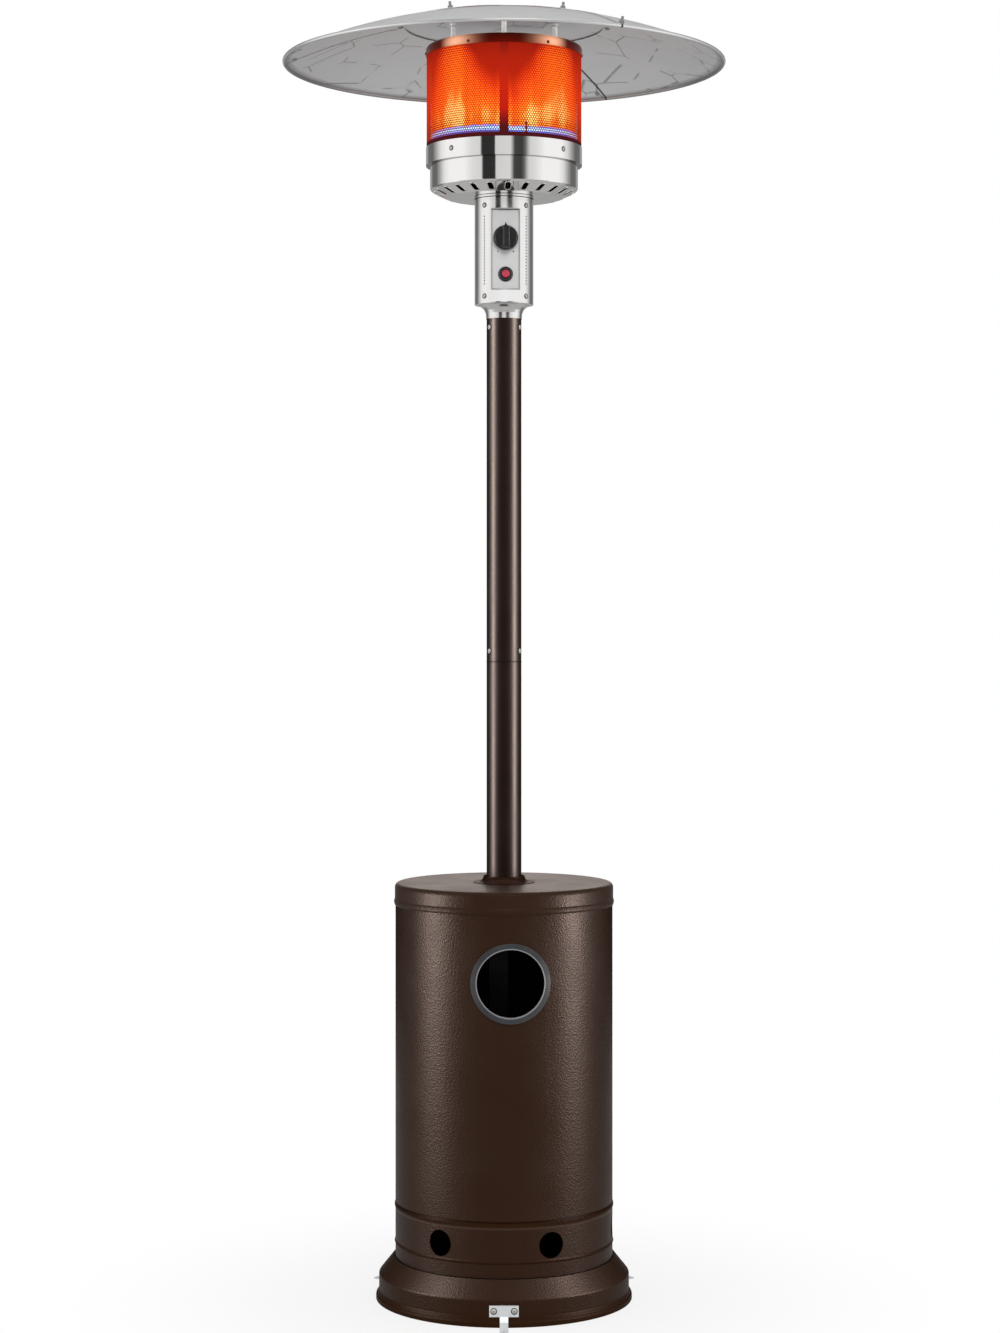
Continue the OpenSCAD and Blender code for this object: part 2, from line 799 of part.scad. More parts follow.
module control_panel() {
    inner = panel_w - 2 * panel_sheet;
    color("#9c9b98") difference() {
        intersection() {
            translate([-panel_w / 2, -2 * head_r, panel_z]) cube([panel_w, 2 * head_r - panel_back, panel_h]);
            cylinder(r = head_r, h = panel_top + past);
        }
        translate([-inner / 2, -2 * head_r, panel_z + panel_sheet])
            cube([inner, 2 * head_r - panel_front, panel_h - 2 * panel_sheet]);
        translate([0, -panel_back + past, knob_z]) rotate([90, 0, 0])
            cylinder(r = stem_hole_r, h = 4 * panel_sheet);
        translate([0, -panel_back + past, igniter_z]) rotate([90, 0, 0])
            cylinder(r = barrel_r + fit, h = 4 * panel_sheet);
        for (side = [-1, 1]) translate([side * valve_screw_x, -panel_back + past, knob_z]) rotate([90, 0, 0])
            cylinder(r = m4[0] + fit, h = 4 * panel_sheet);
    }
}

// Valve: a plug that turns in the body, and a stem that slides in the plug
module keyed(r, h) {
    difference() {
        cylinder(r = r, h = h);
        translate([r - key_flat, -r, -past]) cube([2 * r, 2 * r, h + 2 * past]);
    }
}

module gas_valve() {
    bore_l = plug_l + running;
    color("#a8895a") difference() {
        translate([-valve_w / 2, -panel_back, knob_z - valve_h / 2])
            cube([valve_w, panel_back + valve_back, valve_h]);
        translate([0, -panel_back + bore_l, knob_z]) rotate([90, 0, 0])
            cylinder(r = plug_d / 2 + running, h = bore_l + past);
        for (side = [-1, 1]) translate([side * valve_screw_x, -panel_back + screw_reach + 2, knob_z])
            rotate([90, 0, 0]) cylinder(r = m4[0] + running, h = 2 * screw_reach);
    }
}

module valve_screws() {
    color("#d8d8d4") for (side = [-1, 1]) translate([side * valve_screw_x, -panel_front, knob_z])
        rotate([90, 0, 0]) screw(m4, panel_sheet + screw_reach);
}

module valve_plug() {
    color("#c9a868") translate([0, -panel_back + plug_l, knob_z]) rotate([90, 0, 0]) difference() {
        cylinder(d = plug_d, h = plug_l - running);
        translate([0, 0, -past]) keyed(stem_d / 2 + running, plug_l + 2 * past);
    }
}

module valve_stem() {
    inner_end = -panel_back + stem_in;
    color("#c2c2be") translate([0, inner_end, knob_z]) rotate([90, 0, 0])
        keyed(stem_d / 2, knob_front + inner_end - knob_l / 2);
}

module control_knob() {
    rim_h = knob_skirt * 0.6;
    color("#1c1b1b") translate([0, -knob_rear, knob_z]) rotate([90, 0, 0]) difference() {
        union() {
            cylinder(d1 = knob_d, d2 = knob_waist_d, h = rim_h);
            translate([0, 0, rim_h]) cylinder(d1 = knob_waist_d, d2 = knob_face_d, h = knob_skirt - rim_h);
            intersection() {
                translate([-grip_w / 2, -grip_l / 2, 0]) cube([grip_w, grip_l, knob_l]);
                cylinder(d1 = knob_d, d2 = knob_face_d, h = knob_l);
            }
            linear_extrude(rim_h) polygon([[-pointer_w / 2, grip_l / 2], [pointer_w / 2, grip_l / 2],
                [0, grip_l / 2 + pointer_l]]);
        }
        translate([0, 0, -past]) cylinder(d = knob_face_d - 2 * knob_wall, h = knob_dish + past);
        translate([0, 0, -past]) keyed(stem_d / 2 + running, knob_l / 2 + past + fit);
    }
}

module gas_inlet() {
    hex_z = knob_z - valve_h / 2 - inlet_hex_h;
    color("#b59455") difference() {
        union() {
            translate([0, 0, hex_z]) cylinder(d = inlet_hex_d, h = inlet_hex_h, $fn = 6);
            translate([0, 0, hex_z - inlet_l]) cylinder(d = inlet_d, h = inlet_l + past);
            translate([0, 0, hex_z - inlet_l - inlet_nose])
                cylinder(d1 = inlet_d * 0.55, d2 = inlet_d * 0.8, h = inlet_nose + past);
        }
        translate([0, 0, hex_z - 2 * inlet_l]) cylinder(d = inlet_bore, h = 4 * inlet_l);
    }
}

module injector() {
    hex_z = knob_z + valve_h / 2;
    tip_z = hex_z + injector_hex_h;
    color("#b59455") difference() {
        union() {
            translate([0, 0, hex_z]) cylinder(d = injector_hex_d, h = injector_hex_h, $fn = 6);
            translate([0, 0, hex_z]) cylinder(d = injector_d, h = injector_hex_h + past);
            translate([0, 0, tip_z]) cylinder(d1 = injector_d, d2 = injector_tip_d, h = injector_top - tip_z);
        }
        translate([0, 0, hex_z - past]) cylinder(d = injector_bore, h = injector_top);
    }
}

module igniter_barrel() {
    color("#232323") translate([0, -panel_back + barrel_l, igniter_z]) rotate([90, 0, 0]) difference() {
        union() {
            cylinder(r = barrel_r, h = barrel_l + panel_sheet + bezel_t - 1);
            cylinder(r = barrel_r + barrel_flange, h = barrel_l - fit / 2);
        }
        translate([0, 0, barrel_l - button_room]) cylinder(r = button_d / 2 + running, h = barrel_l);
    }
}

module igniter_bezel() {
    color("#1f1f1f") translate([0, -panel_front - fit / 2, igniter_z]) rotate([90, 0, 0]) difference() {
        union() {
            cylinder(d = bezel_d, h = bezel_t * 0.5);
            translate([0, 0, bezel_t * 0.5]) cylinder(d1 = bezel_d, d2 = bezel_d * 0.8, h = bezel_t * 0.5);
        }
        translate([0, 0, -past]) cylinder(r = barrel_r + fit / 2, h = 2 * bezel_t);
    }
}

module igniter_button() {
    length = button_push + bezel_t + button_out + button_tail;
    front = panel_front + bezel_t + button_out;
    color("#b3201b") translate([0, -front + length, igniter_z]) rotate([90, 0, 0]) {
        cylinder(d = button_d, h = length - button_edge);
        translate([0, 0, length - button_edge])
            cylinder(d1 = button_d, d2 = button_d - 2 * button_edge, h = button_edge);
    }
}

module tilt_switch() {
    color("#d9d7d0") translate([0, head_in_r - switch_r - fit, igniter_z]) {
        cylinder(r = switch_r, h = switch_h);
        translate([0, 0, switch_h]) cylinder(r = switch_r / 2, h = switch_pin_h);
    }
}

// Burner
module burner_bowl() {
    line = concat(
        [[spigot_r, head_top - bowl_spigot], [spigot_r, head_top], [head_r, head_top], [head_r, bowl_floor],
        [floor_d / 2, bowl_floor]],
        arc([bowl_r - bowl_corner, corner_z], bowl_corner, bowl_slope - 90, 0),
        [[bowl_r, bowl_top], [band_r, bowl_top]]);
    color("#c4c2be") difference() {
        spun(line, bowl_sheet);
        for (i = [0:slot_count - 1]) turned(360 / slot_count * i)
            translate([slot_r, 0, bowl_floor - past]) slot(slot_l, slot_w, bowl_h / 2);
        for (a = quarter_angles) wall_hole(m4, a, head_r, head_top - head_screw_edge);
    }
}

module burner_support() {
    rim_r = spigot_r - bowl_sheet - fit / 2;
    line = concat(
        [[rim_r, head_top - bowl_spigot]],
        arc([rim_r - support_round, support_z - support_round], support_round, 0, 90),
        [[venturi_r + fit / 2, support_z]]);
    color("#b0aeaa") difference() {
        spun(line, bowl_sheet);
        for (i = [1:air_hole_count]) turned(360 / air_hole_count * i)
            translate([(rim_r + venturi_r) / 2, 0, support_z - bowl_sheet - past])
                cylinder(r = air_hole_r, h = bowl_sheet + 2 * past);
        for (a = quarter_angles) wall_hole(m4, a, head_r, head_top - head_screw_edge);
    }
}

module venturi() {
    color("#b0aeaa") difference() {
        union() {
            translate([0, 0, venturi_low]) cylinder(r = venturi_r, h = venturi_top - venturi_low);
            translate([0, 0, support_z]) cylinder(r = venturi_r + venturi_flange / 2, h = support_drop);
        }
        translate([0, 0, venturi_low - past])
            cylinder(r = venturi_r - venturi_wall, h = venturi_top - venturi_low + 2 * past);
    }
}

module burner_pan() {
    throat = venturi_r + fit / 2 + pan_sheet;
    line = concat(
        [[throat, pan_throat], [throat, venturi_top], [pan_r - pan_edge, pan_top - pan_wall_h]],
        [[pan_r, pan_top - pan_wall_h + pan_edge], [pan_r, pan_top - pan_sheet]]);
    color("#a9a7a3") spun(line, pan_sheet);
}

module burner_plate() {
    color("#a9a7a3") translate([0, 0, pan_top - pan_sheet]) difference() {
        cylinder(r = pan_r, h = pan_sheet);
        for (i = [0:flame_count - 1]) turned(360 / flame_count * i)
            translate([flame_r - flame_l / 2, -flame_w / 2, -past])
                cube([flame_l, flame_w, pan_sheet + 2 * past]);
    }
}

module burner_band() {
    color("#c9c7c3") difference() {
        translate([0, 0, seat_top]) tube(band_r, band_sheet, band_h);
        for (a = quarter_angles) wall_hole(m4, a, band_r, seat_top + band_h / 2);
    }
}

module band_screws() {
    color("#d8d8d4") for (a = quarter_angles) wall_screw(m4, a, band_r, seat_top + band_h / 2, screw_reach);
}

// Pilot group
module pilot_hole(place, r) {
    turned(pilot_angle + pilot_step * place) translate([pilot_r, 0, pilot_z - past])
        cylinder(r = r + running, h = pilot_sheet + 2 * past);
}

module pilot_bracket() {
    wall = bowl_r - bowl_sheet - fit;
    inner = pan_r + pilot_gap;
    color("#9a9894") difference() {
        turned(pilot_angle - pilot_sweep) rotate_extrude(angle = 2 * pilot_sweep) polygon([
            [wall, pilot_z - pilot_lug], [wall, pilot_z + pilot_sheet], [inner, pilot_z + pilot_sheet],
            [inner, pilot_z], [wall - pilot_sheet, pilot_z], [wall - pilot_sheet, pilot_z - pilot_lug]]);
        pilot_hole(-1, pilot_tube_r);
        pilot_hole(0, probe_r);
        pilot_hole(1, rod_r);
    }
}

// Gland nut that holds a pilot piece on the bracket
module pilot_gland() {
    translate([0, 0, pilot_tail + pilot_sheet]) cylinder(r = gland_r, h = gland_h, $fn = 6);
}

// Places a pilot piece in its hole, with its tail below the bracket
module in_pilot_hole(place) {
    turned(pilot_angle + pilot_step * place) translate([pilot_r, 0, pilot_z - pilot_tail]) children();
}

module pilot_burner() {
    color("#b59455") in_pilot_hole(-1) difference() {
        union() {
            cylinder(r = pilot_tube_r, h = pilot_tube_l);
            pilot_gland();
        }
        translate([0, 0, -past]) cylinder(r = pilot_bore_r, h = pilot_tube_l - pilot_tube_r);
        translate([0, 0, pilot_tail + pilot_port_z]) rotate([0, 90, 0])
            cylinder(r = pilot_port_r, h = 6 * pilot_tube_r, center = true);
    }
}

module thermocouple() {
    color("#b08a62") in_pilot_hole(0) {
        cylinder(r = probe_r, h = probe_l);
        pilot_gland();
        translate([0, 0, probe_l]) cylinder(r1 = probe_r, r2 = probe_r / 2, h = probe_tip);
    }
}

module spark_electrode() {
    color("#e4e1d8") in_pilot_hole(1) {
        cylinder(r = rod_r, h = rod_l);
        pilot_gland();
        translate([0, 0, rod_l]) cylinder(r = wire_r, h = wire_l);
    }
}

// Emitter
module emitter_screen() {
    pitch = 360 / screen_columns;
    color("#d2531c") difference() {
        union() {
            difference() {
                translate([0, 0, seat_top]) tube(screen_r, screen_sheet, screen_h);
                for (row = [0:screen_rows - 1], i = [1 - row % 2:screen_columns - 1])
                    turned(reflector_turn + pitch * (i + (row % 2) / 2))
                        translate([screen_r, 0, screen_hole_low + row * screen_row_step])
                            cube([5 * screen_sheet, screen_hole_w, screen_hole_h], center = true);
            }
            intersection() {
                translate([0, 0, seat_top]) tube(screen_r - screen_sheet, screen_sheet, screen_h);
                turned(reflector_turn) translate([0, -screen_seam / 2, seat_top])
                    cube([screen_r, screen_seam, screen_h]);
            }
        }
        for (a = quarter_angles) wall_hole(m4, a, band_r, seat_top + band_h / 2);
        for (i = [0:cap_screw_count - 1])
            wall_hole(m4, 360 / cap_screw_count * (i + 0.5), cap_r, cap_screw_z);
    }
}

module screen_cap() {
    line = concat(
        [[cap_r, cap_low]],
        arc([cap_r - cap_round, cap_top - cap_round], cap_round, 0, 90),
        [[0, cap_top]]);
    color("#5a3a30") difference() {
        spun(line, cap_sheet);
        for (i = [0:cap_screw_count - 1])
            wall_hole(m4, 360 / cap_screw_count * (i + 0.5), cap_r, cap_screw_z);
        for (i = [0:2]) turned(reflector_turn + third * i)
            translate([standoff_r, 0, cap_top - 2 * cap_sheet])
                cylinder(r = m5[0] + fit / 2, h = 4 * cap_sheet);
    }
}

module cap_screws() {
    color("#6a4a40") for (i = [0:cap_screw_count - 1])
        wall_screw(m4, 360 / cap_screw_count * (i + 0.5), cap_r, cap_screw_z, screw_reach);
}

module standoff(i) {
    color("#d0cecb") turned(reflector_turn + third * i) translate([standoff_r, 0, cap_top])
        tube(standoff_d / 2, standoff_d / 2 - m5[0] - running, standoff_l);
}

// Height of the disc's upper face at a distance from the axis
function disc_top(r) = dome_z + sqrt(pow(dome_r + 2 * level, 2) - r * r);

module standoff_screws() {
    color("#d8d8d4") for (i = [0:2]) turned(reflector_turn + third * i) {
        translate([standoff_r, 0, disc_top(standoff_r - m5[1]) + running]) screw(m5, standoff_l / 3);
        translate([standoff_r, 0, cap_top - cap_sheet - running]) rotate([180, 0, 0])
            screw(m5, standoff_l / 3);
    }
}

// Reflector
module dome_shell(under, over) {
    translate([0, 0, dome_z]) difference() {
        sphere(r = over, $fn = 200);
        sphere(r = under, $fn = 200);
    }
}

// Upright prism over the ring between two radii, above the dome's middle
module ring_prism(inner, outer) {
    translate([0, 0, cap_top]) difference() {
        cylinder(r = outer, h = 2 * dome_h + standoff_l);
        if (inner > 0) translate([0, 0, -past]) cylinder(r = inner, h = 3 * dome_h + standoff_l);
    }
}

module rim_prism() {
    translate([0, 0, hem_z - hem_d]) difference() {
        cylinder(r = sheet_r, h = 3 * dome_h);
        translate([0, 0, -past]) cylinder(r = panel_in_r, h = 4 * dome_h);
    }
}

// Places a fastener on the dome at an angle and a radius, with +Z out of the sheet
module on_dome(angle, r) {
    turned(reflector_turn + angle) translate([0, 0, dome_z]) rotate([0, asin(r / dome_r), 0])
        translate([0, 0, dome_r]) children();
}

// Hole, bolt or nut at every reflector fastener
module each_dome_bolt() {
    for (i = [0:2]) on_dome(30 + third * i + asin(seam_bolt_in / disc_bolt_r), disc_bolt_r) children(0);
    for (i = [0:2]) on_dome(90 + third * i, disc_bolt_r) children(0);
    for (i = [0:2]) on_dome(30 + third * i + asin(seam_bolt_in / rim_bolt_r), rim_bolt_r) children(1);
}

module dome_bolt_hole() {
    translate([0, 0, -10]) cylinder(r = m5[0] + fit / 2, h = 20);
}

module reflector_disc() {
    color("#a7a7a6") difference() {
        intersection() {
            dome_shell(disc_under, dome_r + 2 * level);
            ring_prism(0, disc_r);
        }
        for (i = [0:2]) turned(reflector_turn + third * i)
            translate([standoff_r, 0, cap_top]) cylinder(r = m5[0] + fit / 2, h = 2 * dome_h);
        each_dome_bolt() {
            dome_bolt_hole();
            dome_bolt_hole();
        }
    }
}

// One of three panels, with a raised lap along the seam that rests on the next panel
module reflector_panel(i) {
    first = 30 + third * i;
    span = third - 2 * panel_slit;
    color("#a7a7a6") difference() {
        union() {
            intersection() {
                dome_shell(dome_r - dome_sheet, dome_r);
                rim_prism();
                turned(reflector_turn + first + panel_slit) rotate_extrude(angle = span)
                    translate([panel_in_r / 2, hem_z - hem_d]) square([reflector_r, 3 * dome_h]);
            }
            intersection() {
                dome_shell(dome_r - dome_sheet, dome_r + level);
                rim_prism();
                turned(reflector_turn + first + third) translate([panel_in_r, -riser_w - fit, hem_z - hem_d])
                    cube([lap_out_r - panel_in_r, riser_w, 3 * dome_h]);
            }
            intersection() {
                dome_shell(dome_r + fit, dome_r + level);
                rim_prism();
                turned(reflector_turn + first + third) translate([panel_in_r, -riser_w - fit, hem_z - hem_d])
                    cube([lap_out_r - panel_in_r, seam_lap + riser_w, 3 * dome_h]);
            }
            turned(reflector_turn + first + panel_slit) rotate_extrude(angle = span)
                translate([sheet_r, hem_z]) circle(d = hem_d);
        }
        each_dome_bolt() {
            dome_bolt_hole();
            dome_bolt_hole();
        }
    }
}

module reflector_bolts() {
    under = -dome_sheet - running;
    color("#cfcdca") each_dome_bolt() {
        translate([0, 0, under]) rotate([180, 0, 0]) screw(m5, 3 * level + bolt_stand);
        translate([0, 0, under]) rotate([180, 0, 0]) screw(m5, 2 * level + bolt_stand);
    }
}

module reflector_nuts() {
    color("#cfcdca") each_dome_bolt() {
        translate([0, 0, 2 * level + running]) hex_nut(m5[0], nut_d, nut_h);
        translate([0, 0, level + running]) hex_nut(m5[0], nut_d, nut_h);
    }
}

base_pan();
anchor_bracket(0);  // anchor_bracket_1
anchor_bracket(1);  // anchor_bracket_2
anchor_bracket(2);  // anchor_bracket_3
anchor_screws();
support_leg(0);  // support_leg_1
support_leg(1);  // support_leg_2
support_leg(2);  // support_leg_3
leg_foot_bolts();
leg_head_bolts();
top_plate();
lower_post();
flange_bolts();
upper_post();
post_joint_screws();
neck_screws();
housing_shell();
housing_lid();
lid_collar();
window_ring();
neck_collar();
control_housing();
control_housing_screws();
control_panel();
gas_valve();
valve_screws();
valve_plug();
valve_stem();
control_knob();
gas_inlet();
injector();
igniter_barrel();
igniter_bezel();
igniter_button();
tilt_switch();
burner_bowl();
burner_support();
venturi();
burner_pan();
burner_plate();
burner_band();
band_screws();
pilot_bracket();
pilot_burner();
thermocouple();
spark_electrode();
emitter_screen();
screen_cap();
cap_screws();
standoff(0);  // standoff_1
standoff(1);  // standoff_2
standoff(2);  // standoff_3
standoff_screws();
reflector_disc();
reflector_panel(0);  // reflector_panel_1
reflector_panel(1);  // reflector_panel_2
reflector_panel(2);  // reflector_panel_3
reflector_bolts();
reflector_nuts();
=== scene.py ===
import json
from math import cos, exp, pi, radians, sin, sqrt

import bmesh
import bpy
from mathutils import Matrix, Vector

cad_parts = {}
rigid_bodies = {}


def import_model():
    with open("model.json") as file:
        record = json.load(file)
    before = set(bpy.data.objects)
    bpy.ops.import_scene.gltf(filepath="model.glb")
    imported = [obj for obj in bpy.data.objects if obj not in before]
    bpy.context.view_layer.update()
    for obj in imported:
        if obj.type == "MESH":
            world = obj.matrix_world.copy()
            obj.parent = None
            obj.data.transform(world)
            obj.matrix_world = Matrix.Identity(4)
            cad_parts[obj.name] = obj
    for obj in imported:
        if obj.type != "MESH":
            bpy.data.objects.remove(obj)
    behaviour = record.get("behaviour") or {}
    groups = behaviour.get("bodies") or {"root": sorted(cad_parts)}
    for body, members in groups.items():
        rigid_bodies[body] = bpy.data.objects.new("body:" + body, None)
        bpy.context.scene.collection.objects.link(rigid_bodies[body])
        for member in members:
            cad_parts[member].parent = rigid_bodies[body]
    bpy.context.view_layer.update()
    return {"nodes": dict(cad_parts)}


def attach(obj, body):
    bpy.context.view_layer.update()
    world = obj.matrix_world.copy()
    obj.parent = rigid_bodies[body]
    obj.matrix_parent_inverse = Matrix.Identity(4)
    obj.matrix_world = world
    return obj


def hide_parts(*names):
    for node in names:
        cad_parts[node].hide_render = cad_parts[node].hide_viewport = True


for leftover in list(bpy.data.objects):
    bpy.data.objects.remove(leftover)
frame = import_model()


# Base pan: one deep-drawn steel pan with a rolled lip, a sloping shoulder and a seat for the housing.
# It is sprayed in dark bronze hammer paint, which dries in shallow dimples a few millimetres wide.

def put(tree, kind, inputs=None, **settings):
    """Adds a node to a tree. An input is a value, or an output socket to link from."""
    made = tree.nodes.new(kind)
    for name, value in settings.items():
        setattr(made, name, value)
    for name, value in (inputs or {}).items():
        if isinstance(value, bpy.types.NodeSocket):
            tree.links.new(value, made.inputs[name])
        else:
            made.inputs[name].default_value = value
    return made


def effect(name, inputs, outputs):
    """Starts a shader group with named float inputs and named outputs."""
    tree = bpy.data.node_groups.new(name, "ShaderNodeTree")
    for label, value in inputs.items():
        socket = tree.interface.new_socket(label, in_out="INPUT", socket_type="NodeSocketFloat")
        socket.default_value = value
    for label in outputs:
        tree.interface.new_socket(label, in_out="OUTPUT", socket_type="NodeSocketFloat")
    return tree, tree.nodes.new("NodeGroupInput").outputs, tree.nodes.new("NodeGroupOutput")


def feed(node, **sources):
    """Links output sockets to a node's inputs."""
    for label, source in sources.items():
        node.id_data.links.new(source, node.inputs[label.replace("_", " ")])


def place_in(tree):
    """Object coordinates, in metres."""
    return put(tree, "ShaderNodeTexCoord").outputs["Object"]


def tree_of(terms):
    """Tree of the first socket among numbers and sockets."""
    return next(term.id_data for term in terms if isinstance(term, bpy.types.NodeSocket))


def calc(operation, *terms, clamp=False):
    """Result of a sum on numbers and sockets."""
    values = dict(enumerate(terms))
    return put(tree_of(terms), "ShaderNodeMath", values, operation=operation, use_clamp=clamp).outputs[0]


def times(first, second):
    """Product of numbers and sockets."""
    return calc("MULTIPLY", first, second)


def parts_of(vector):
    """X, Y and Z of a vector."""
    return put(vector.id_data, "ShaderNodeSeparateXYZ", {"Vector": vector}).outputs


def use(tree, shared, values):
    """Outputs of a shared shader group in a tree, with its inputs set."""
    return put(tree, "ShaderNodeGroup", values, node_tree=shared).outputs


def noise(vector, scale, detail):
    """Cloudy mask."""
    values = {"Vector": vector, "Scale": scale, "Detail": detail}
    return put(vector.id_data, "ShaderNodeTexNoise", values).outputs["Fac"]


def remap(value, low, high, start=0.0, end=1.0, kind="LINEAR"):
    """Spreads a value from between low and high to between start and end, and holds it beyond."""
    values = {"Value": value, "From Min": low, "From Max": high, "To Min": start, "To Max": end}
    return put(value.id_data, "ShaderNodeMapRange", values, interpolation_type=kind).outputs["Result"]


hammer, given, out = effect("Hammered paint", {"Cell Size": 0.004}, ["Height", "Tone"])
place = place_in(hammer)
per_metre = calc("DIVIDE", 1.0, given["Cell Size"])
dimples = put(hammer, "ShaderNodeTexVoronoi", {"Vector": place, "Scale": per_metre, "Smoothness": 0.7},
              feature="SMOOTH_F1")
feed(out, Height=dimples.outputs["Distance"], Tone=noise(place, 9.0, 5.0))

gloss, given, out = effect("Uneven gloss", {"Scale": 30.0, "Least": 0.3, "Most": 0.4}, ["Roughness"])
smears = noise(place_in(gloss), given["Scale"], 4.0)
feed(out, Roughness=remap(smears, 0.3, 0.7, given["Least"], given["Most"]))


def nodes_of(material):
    """Node tree and Principled shader of a material."""
    return material.node_tree, material.node_tree.nodes["Principled BSDF"]


def finish(name, **values):
    """Starts a material. The values go on the Principled shader's own sockets."""
    material = bpy.data.materials.new(name)
    material.use_nodes = True
    tree, shader = nodes_of(material)
    for label, value in values.items():
        shader.inputs[label.replace("_", " ")].default_value = value
    return material, tree, shader


def uneven(shader, scale, least, most):
    """Gives a shader uneven gloss."""
    values = {"Scale": scale, "Least": least, "Most": most}
    feed(shader, Roughness=use(shader.id_data, gloss, values)[0])


def relief(shader, height, strength, distance):
    """Gives a shader a fine relief."""
    values = {"Height": height, "Strength": strength, "Distance": distance}
    feed(shader, Normal=put(shader.id_data, "ShaderNodeBump", values).outputs["Normal"])


def blend(share, first, second):
    """Colour between two colours or colour sockets, by a share."""
    ends = [end if isinstance(end, bpy.types.NodeSocket) else (*end, 1) for end in (first, second)]
    values = {0: share, 6: ends[0], 7: ends[1]}
    return put(share.id_data, "ShaderNodeMix", values, data_type="RGBA").outputs[2]


def dress(material, *nodes):
    """Gives CAD nodes a finish."""
    for node in nodes:
        frame["nodes"][node].material_slots[0].material = material


def hammered_paint(name, dark, light, cell, depth, rough, shine):
    """Bronze hammer paint with dimples of one size. It runs out glossier on level faces."""
    material, tree, shader = finish(name, Specular_Tint=(1.0, 0.86, 0.81, 1))
    normal = put(tree, "ShaderNodeNewGeometry").outputs["Normal"]
    upward = parts_of(normal)["Z"]
    dimple = use(tree, hammer, {"Cell Size": cell})
    feed(shader, Base_Color=blend(dimple["Tone"], dark, light),
         Specular_IOR_Level=remap(upward, 0.9, 0.99, shine, 0.5))
    uneven(shader, 14.0, *rough)
    relief(shader, dimple["Height"], depth, 0.0008)
    return material


def vec_calc(operation, *terms):
    """Result of a sum on vectors, which is a number for a length or a dot product."""
    made = put(tree_of(terms), "ShaderNodeVectorMath", dict(enumerate(terms)), operation=operation)
    return made.outputs["Value" if operation in ("LENGTH", "DOT_PRODUCT") else "Vector"]


def level_in(tree):
    """Place seen from above."""
    return vec_calc("MULTIPLY", place_in(tree), (1.0, 1.0, 0.0))


def reach_in(tree):
    """Distance from the post's axis."""
    return vec_calc("LENGTH", level_in(tree))


def height_in(tree):
    """Height over the floor."""
    return parts_of(place_in(tree))["Z"]


def turn_in(tree):
    """Share of a full turn about the post's axis."""
    ring = put(tree, "ShaderNodeTexGradient", {"Vector": place_in(tree)}, gradient_type="RADIAL")
    return ring.outputs["Fac"]


def dim(shader, label, share):
    """Multiplies what a shader's input gets by a share."""
    socket = shader.inputs[label]
    dimmed = vec_calc("MULTIPLY", socket.links[0].from_socket, share)
    shader.id_data.links.new(dimmed, socket)


bronze_tones = [(0.0255, 0.0096, 0.0038), (0.0310, 0.0122, 0.0053)]
bronze_base = hammered_paint("bronze_base", *bronze_tones, cell=0.0030, depth=0.44, rough=(0.38, 0.46),
                             shine=0.07)
tree, shader = nodes_of(bronze_base)
scuffed_lip = remap(height_in(tree), 0.016, 0.022, 0.25)
matt_tray = remap(reach_in(tree), 0.198, 0.204, 0.04)
for share in (scuffed_lip, matt_tray):
    dim(shader, "Specular IOR Level", share)
dress(bronze_base, "base_pan")


# Anchor brackets: three strips of plated steel, folded over the lip to a floor tab with an anchor hole.
# Two pan-head screws with a cross recess hold each bracket's cross bar to the skirt.

def xyz(**axes):
    """Vector of up to three numbers or sockets."""
    return put(tree_of(axes.values()), "ShaderNodeCombineXYZ", axes).outputs[0]


grain, given, out = effect("Rolled grain", {"Across": 60.0, "Up": 900.0}, ["Height", "Tone"])
pull = xyz(X=given["Across"], Y=given["Across"], Z=given["Up"])
streaks = noise(vec_calc("MULTIPLY", place_in(grain), pull), 1.0, 3.0)
feed(out, Height=streaks, Tone=streaks)


def rolled_metal(name, dark, light, rough, lines, depth, metallic=1.0):
    """Sheet or turned metal in two tones, with uneven gloss and drawn lines per metre across and up."""
    material, tree, shader = finish(name, Metallic=metallic)
    drawn = use(tree, grain, {"Across": lines[0], "Up": lines[1]})
    feed(shader, Base_Color=blend(drawn["Tone"], dark, light))
    uneven(shader, 24.0, *rough)
    relief(shader, drawn["Height"], depth, 0.0002)
    return material


plated_strip = rolled_metal("plated_strip", (0.72, 0.73, 0.74), (0.82, 0.83, 0.84),
                            rough=(0.32, 0.46), lines=(500.0, 90.0), depth=0.10, metallic=0.4)
bright_zinc = rolled_metal("bright_zinc", (0.60, 0.60, 0.58), (0.74, 0.74, 0.72),
                           rough=(0.18, 0.30), lines=(400.0, 400.0), depth=0.05)
dress(plated_strip, "anchor_bracket_1", "anchor_bracket_2", "anchor_bracket_3")


def one_colour(name, colour, scale, rough, **values):
    """Finish in one colour with uneven gloss."""
    material, _, shader = finish(name, Base_Color=(*colour, 1), **values)
    uneven(shader, scale, *rough)
    return material


# Near-black, used for dark joints and for painted shadow lines and rings.
gap_and_shadow_black = one_colour("gap_and_shadow_black", (0.004, 0.003, 0.003), 60.0, rough=(0.6, 0.8), Specular_IOR_Level=0.1)


def start_tree(name, **inputs):
    """Starts a Geometry Nodes tree with a geometry input and lists of named inputs of each kind."""
    tree = bpy.data.node_groups.new(name, "GeometryNodeTree")
    tree.interface.new_socket("Geometry", in_out="INPUT", socket_type="NodeSocketGeometry")
    for kind, labels in inputs.items():
        for label in labels:
            tree.interface.new_socket(label, in_out="INPUT", socket_type="NodeSocket" + kind)
    tree.interface.new_socket("Geometry", in_out="OUTPUT", socket_type="NodeSocketGeometry")
    return tree, tree.nodes.new("NodeGroupInput").outputs, tree.nodes.new("NodeGroupOutput")


def geo(tree, kind, inputs=None, **settings):
    """First output of a new Geometry Nodes node."""
    return put(tree, "GeometryNode" + kind, inputs, **settings).outputs[0]


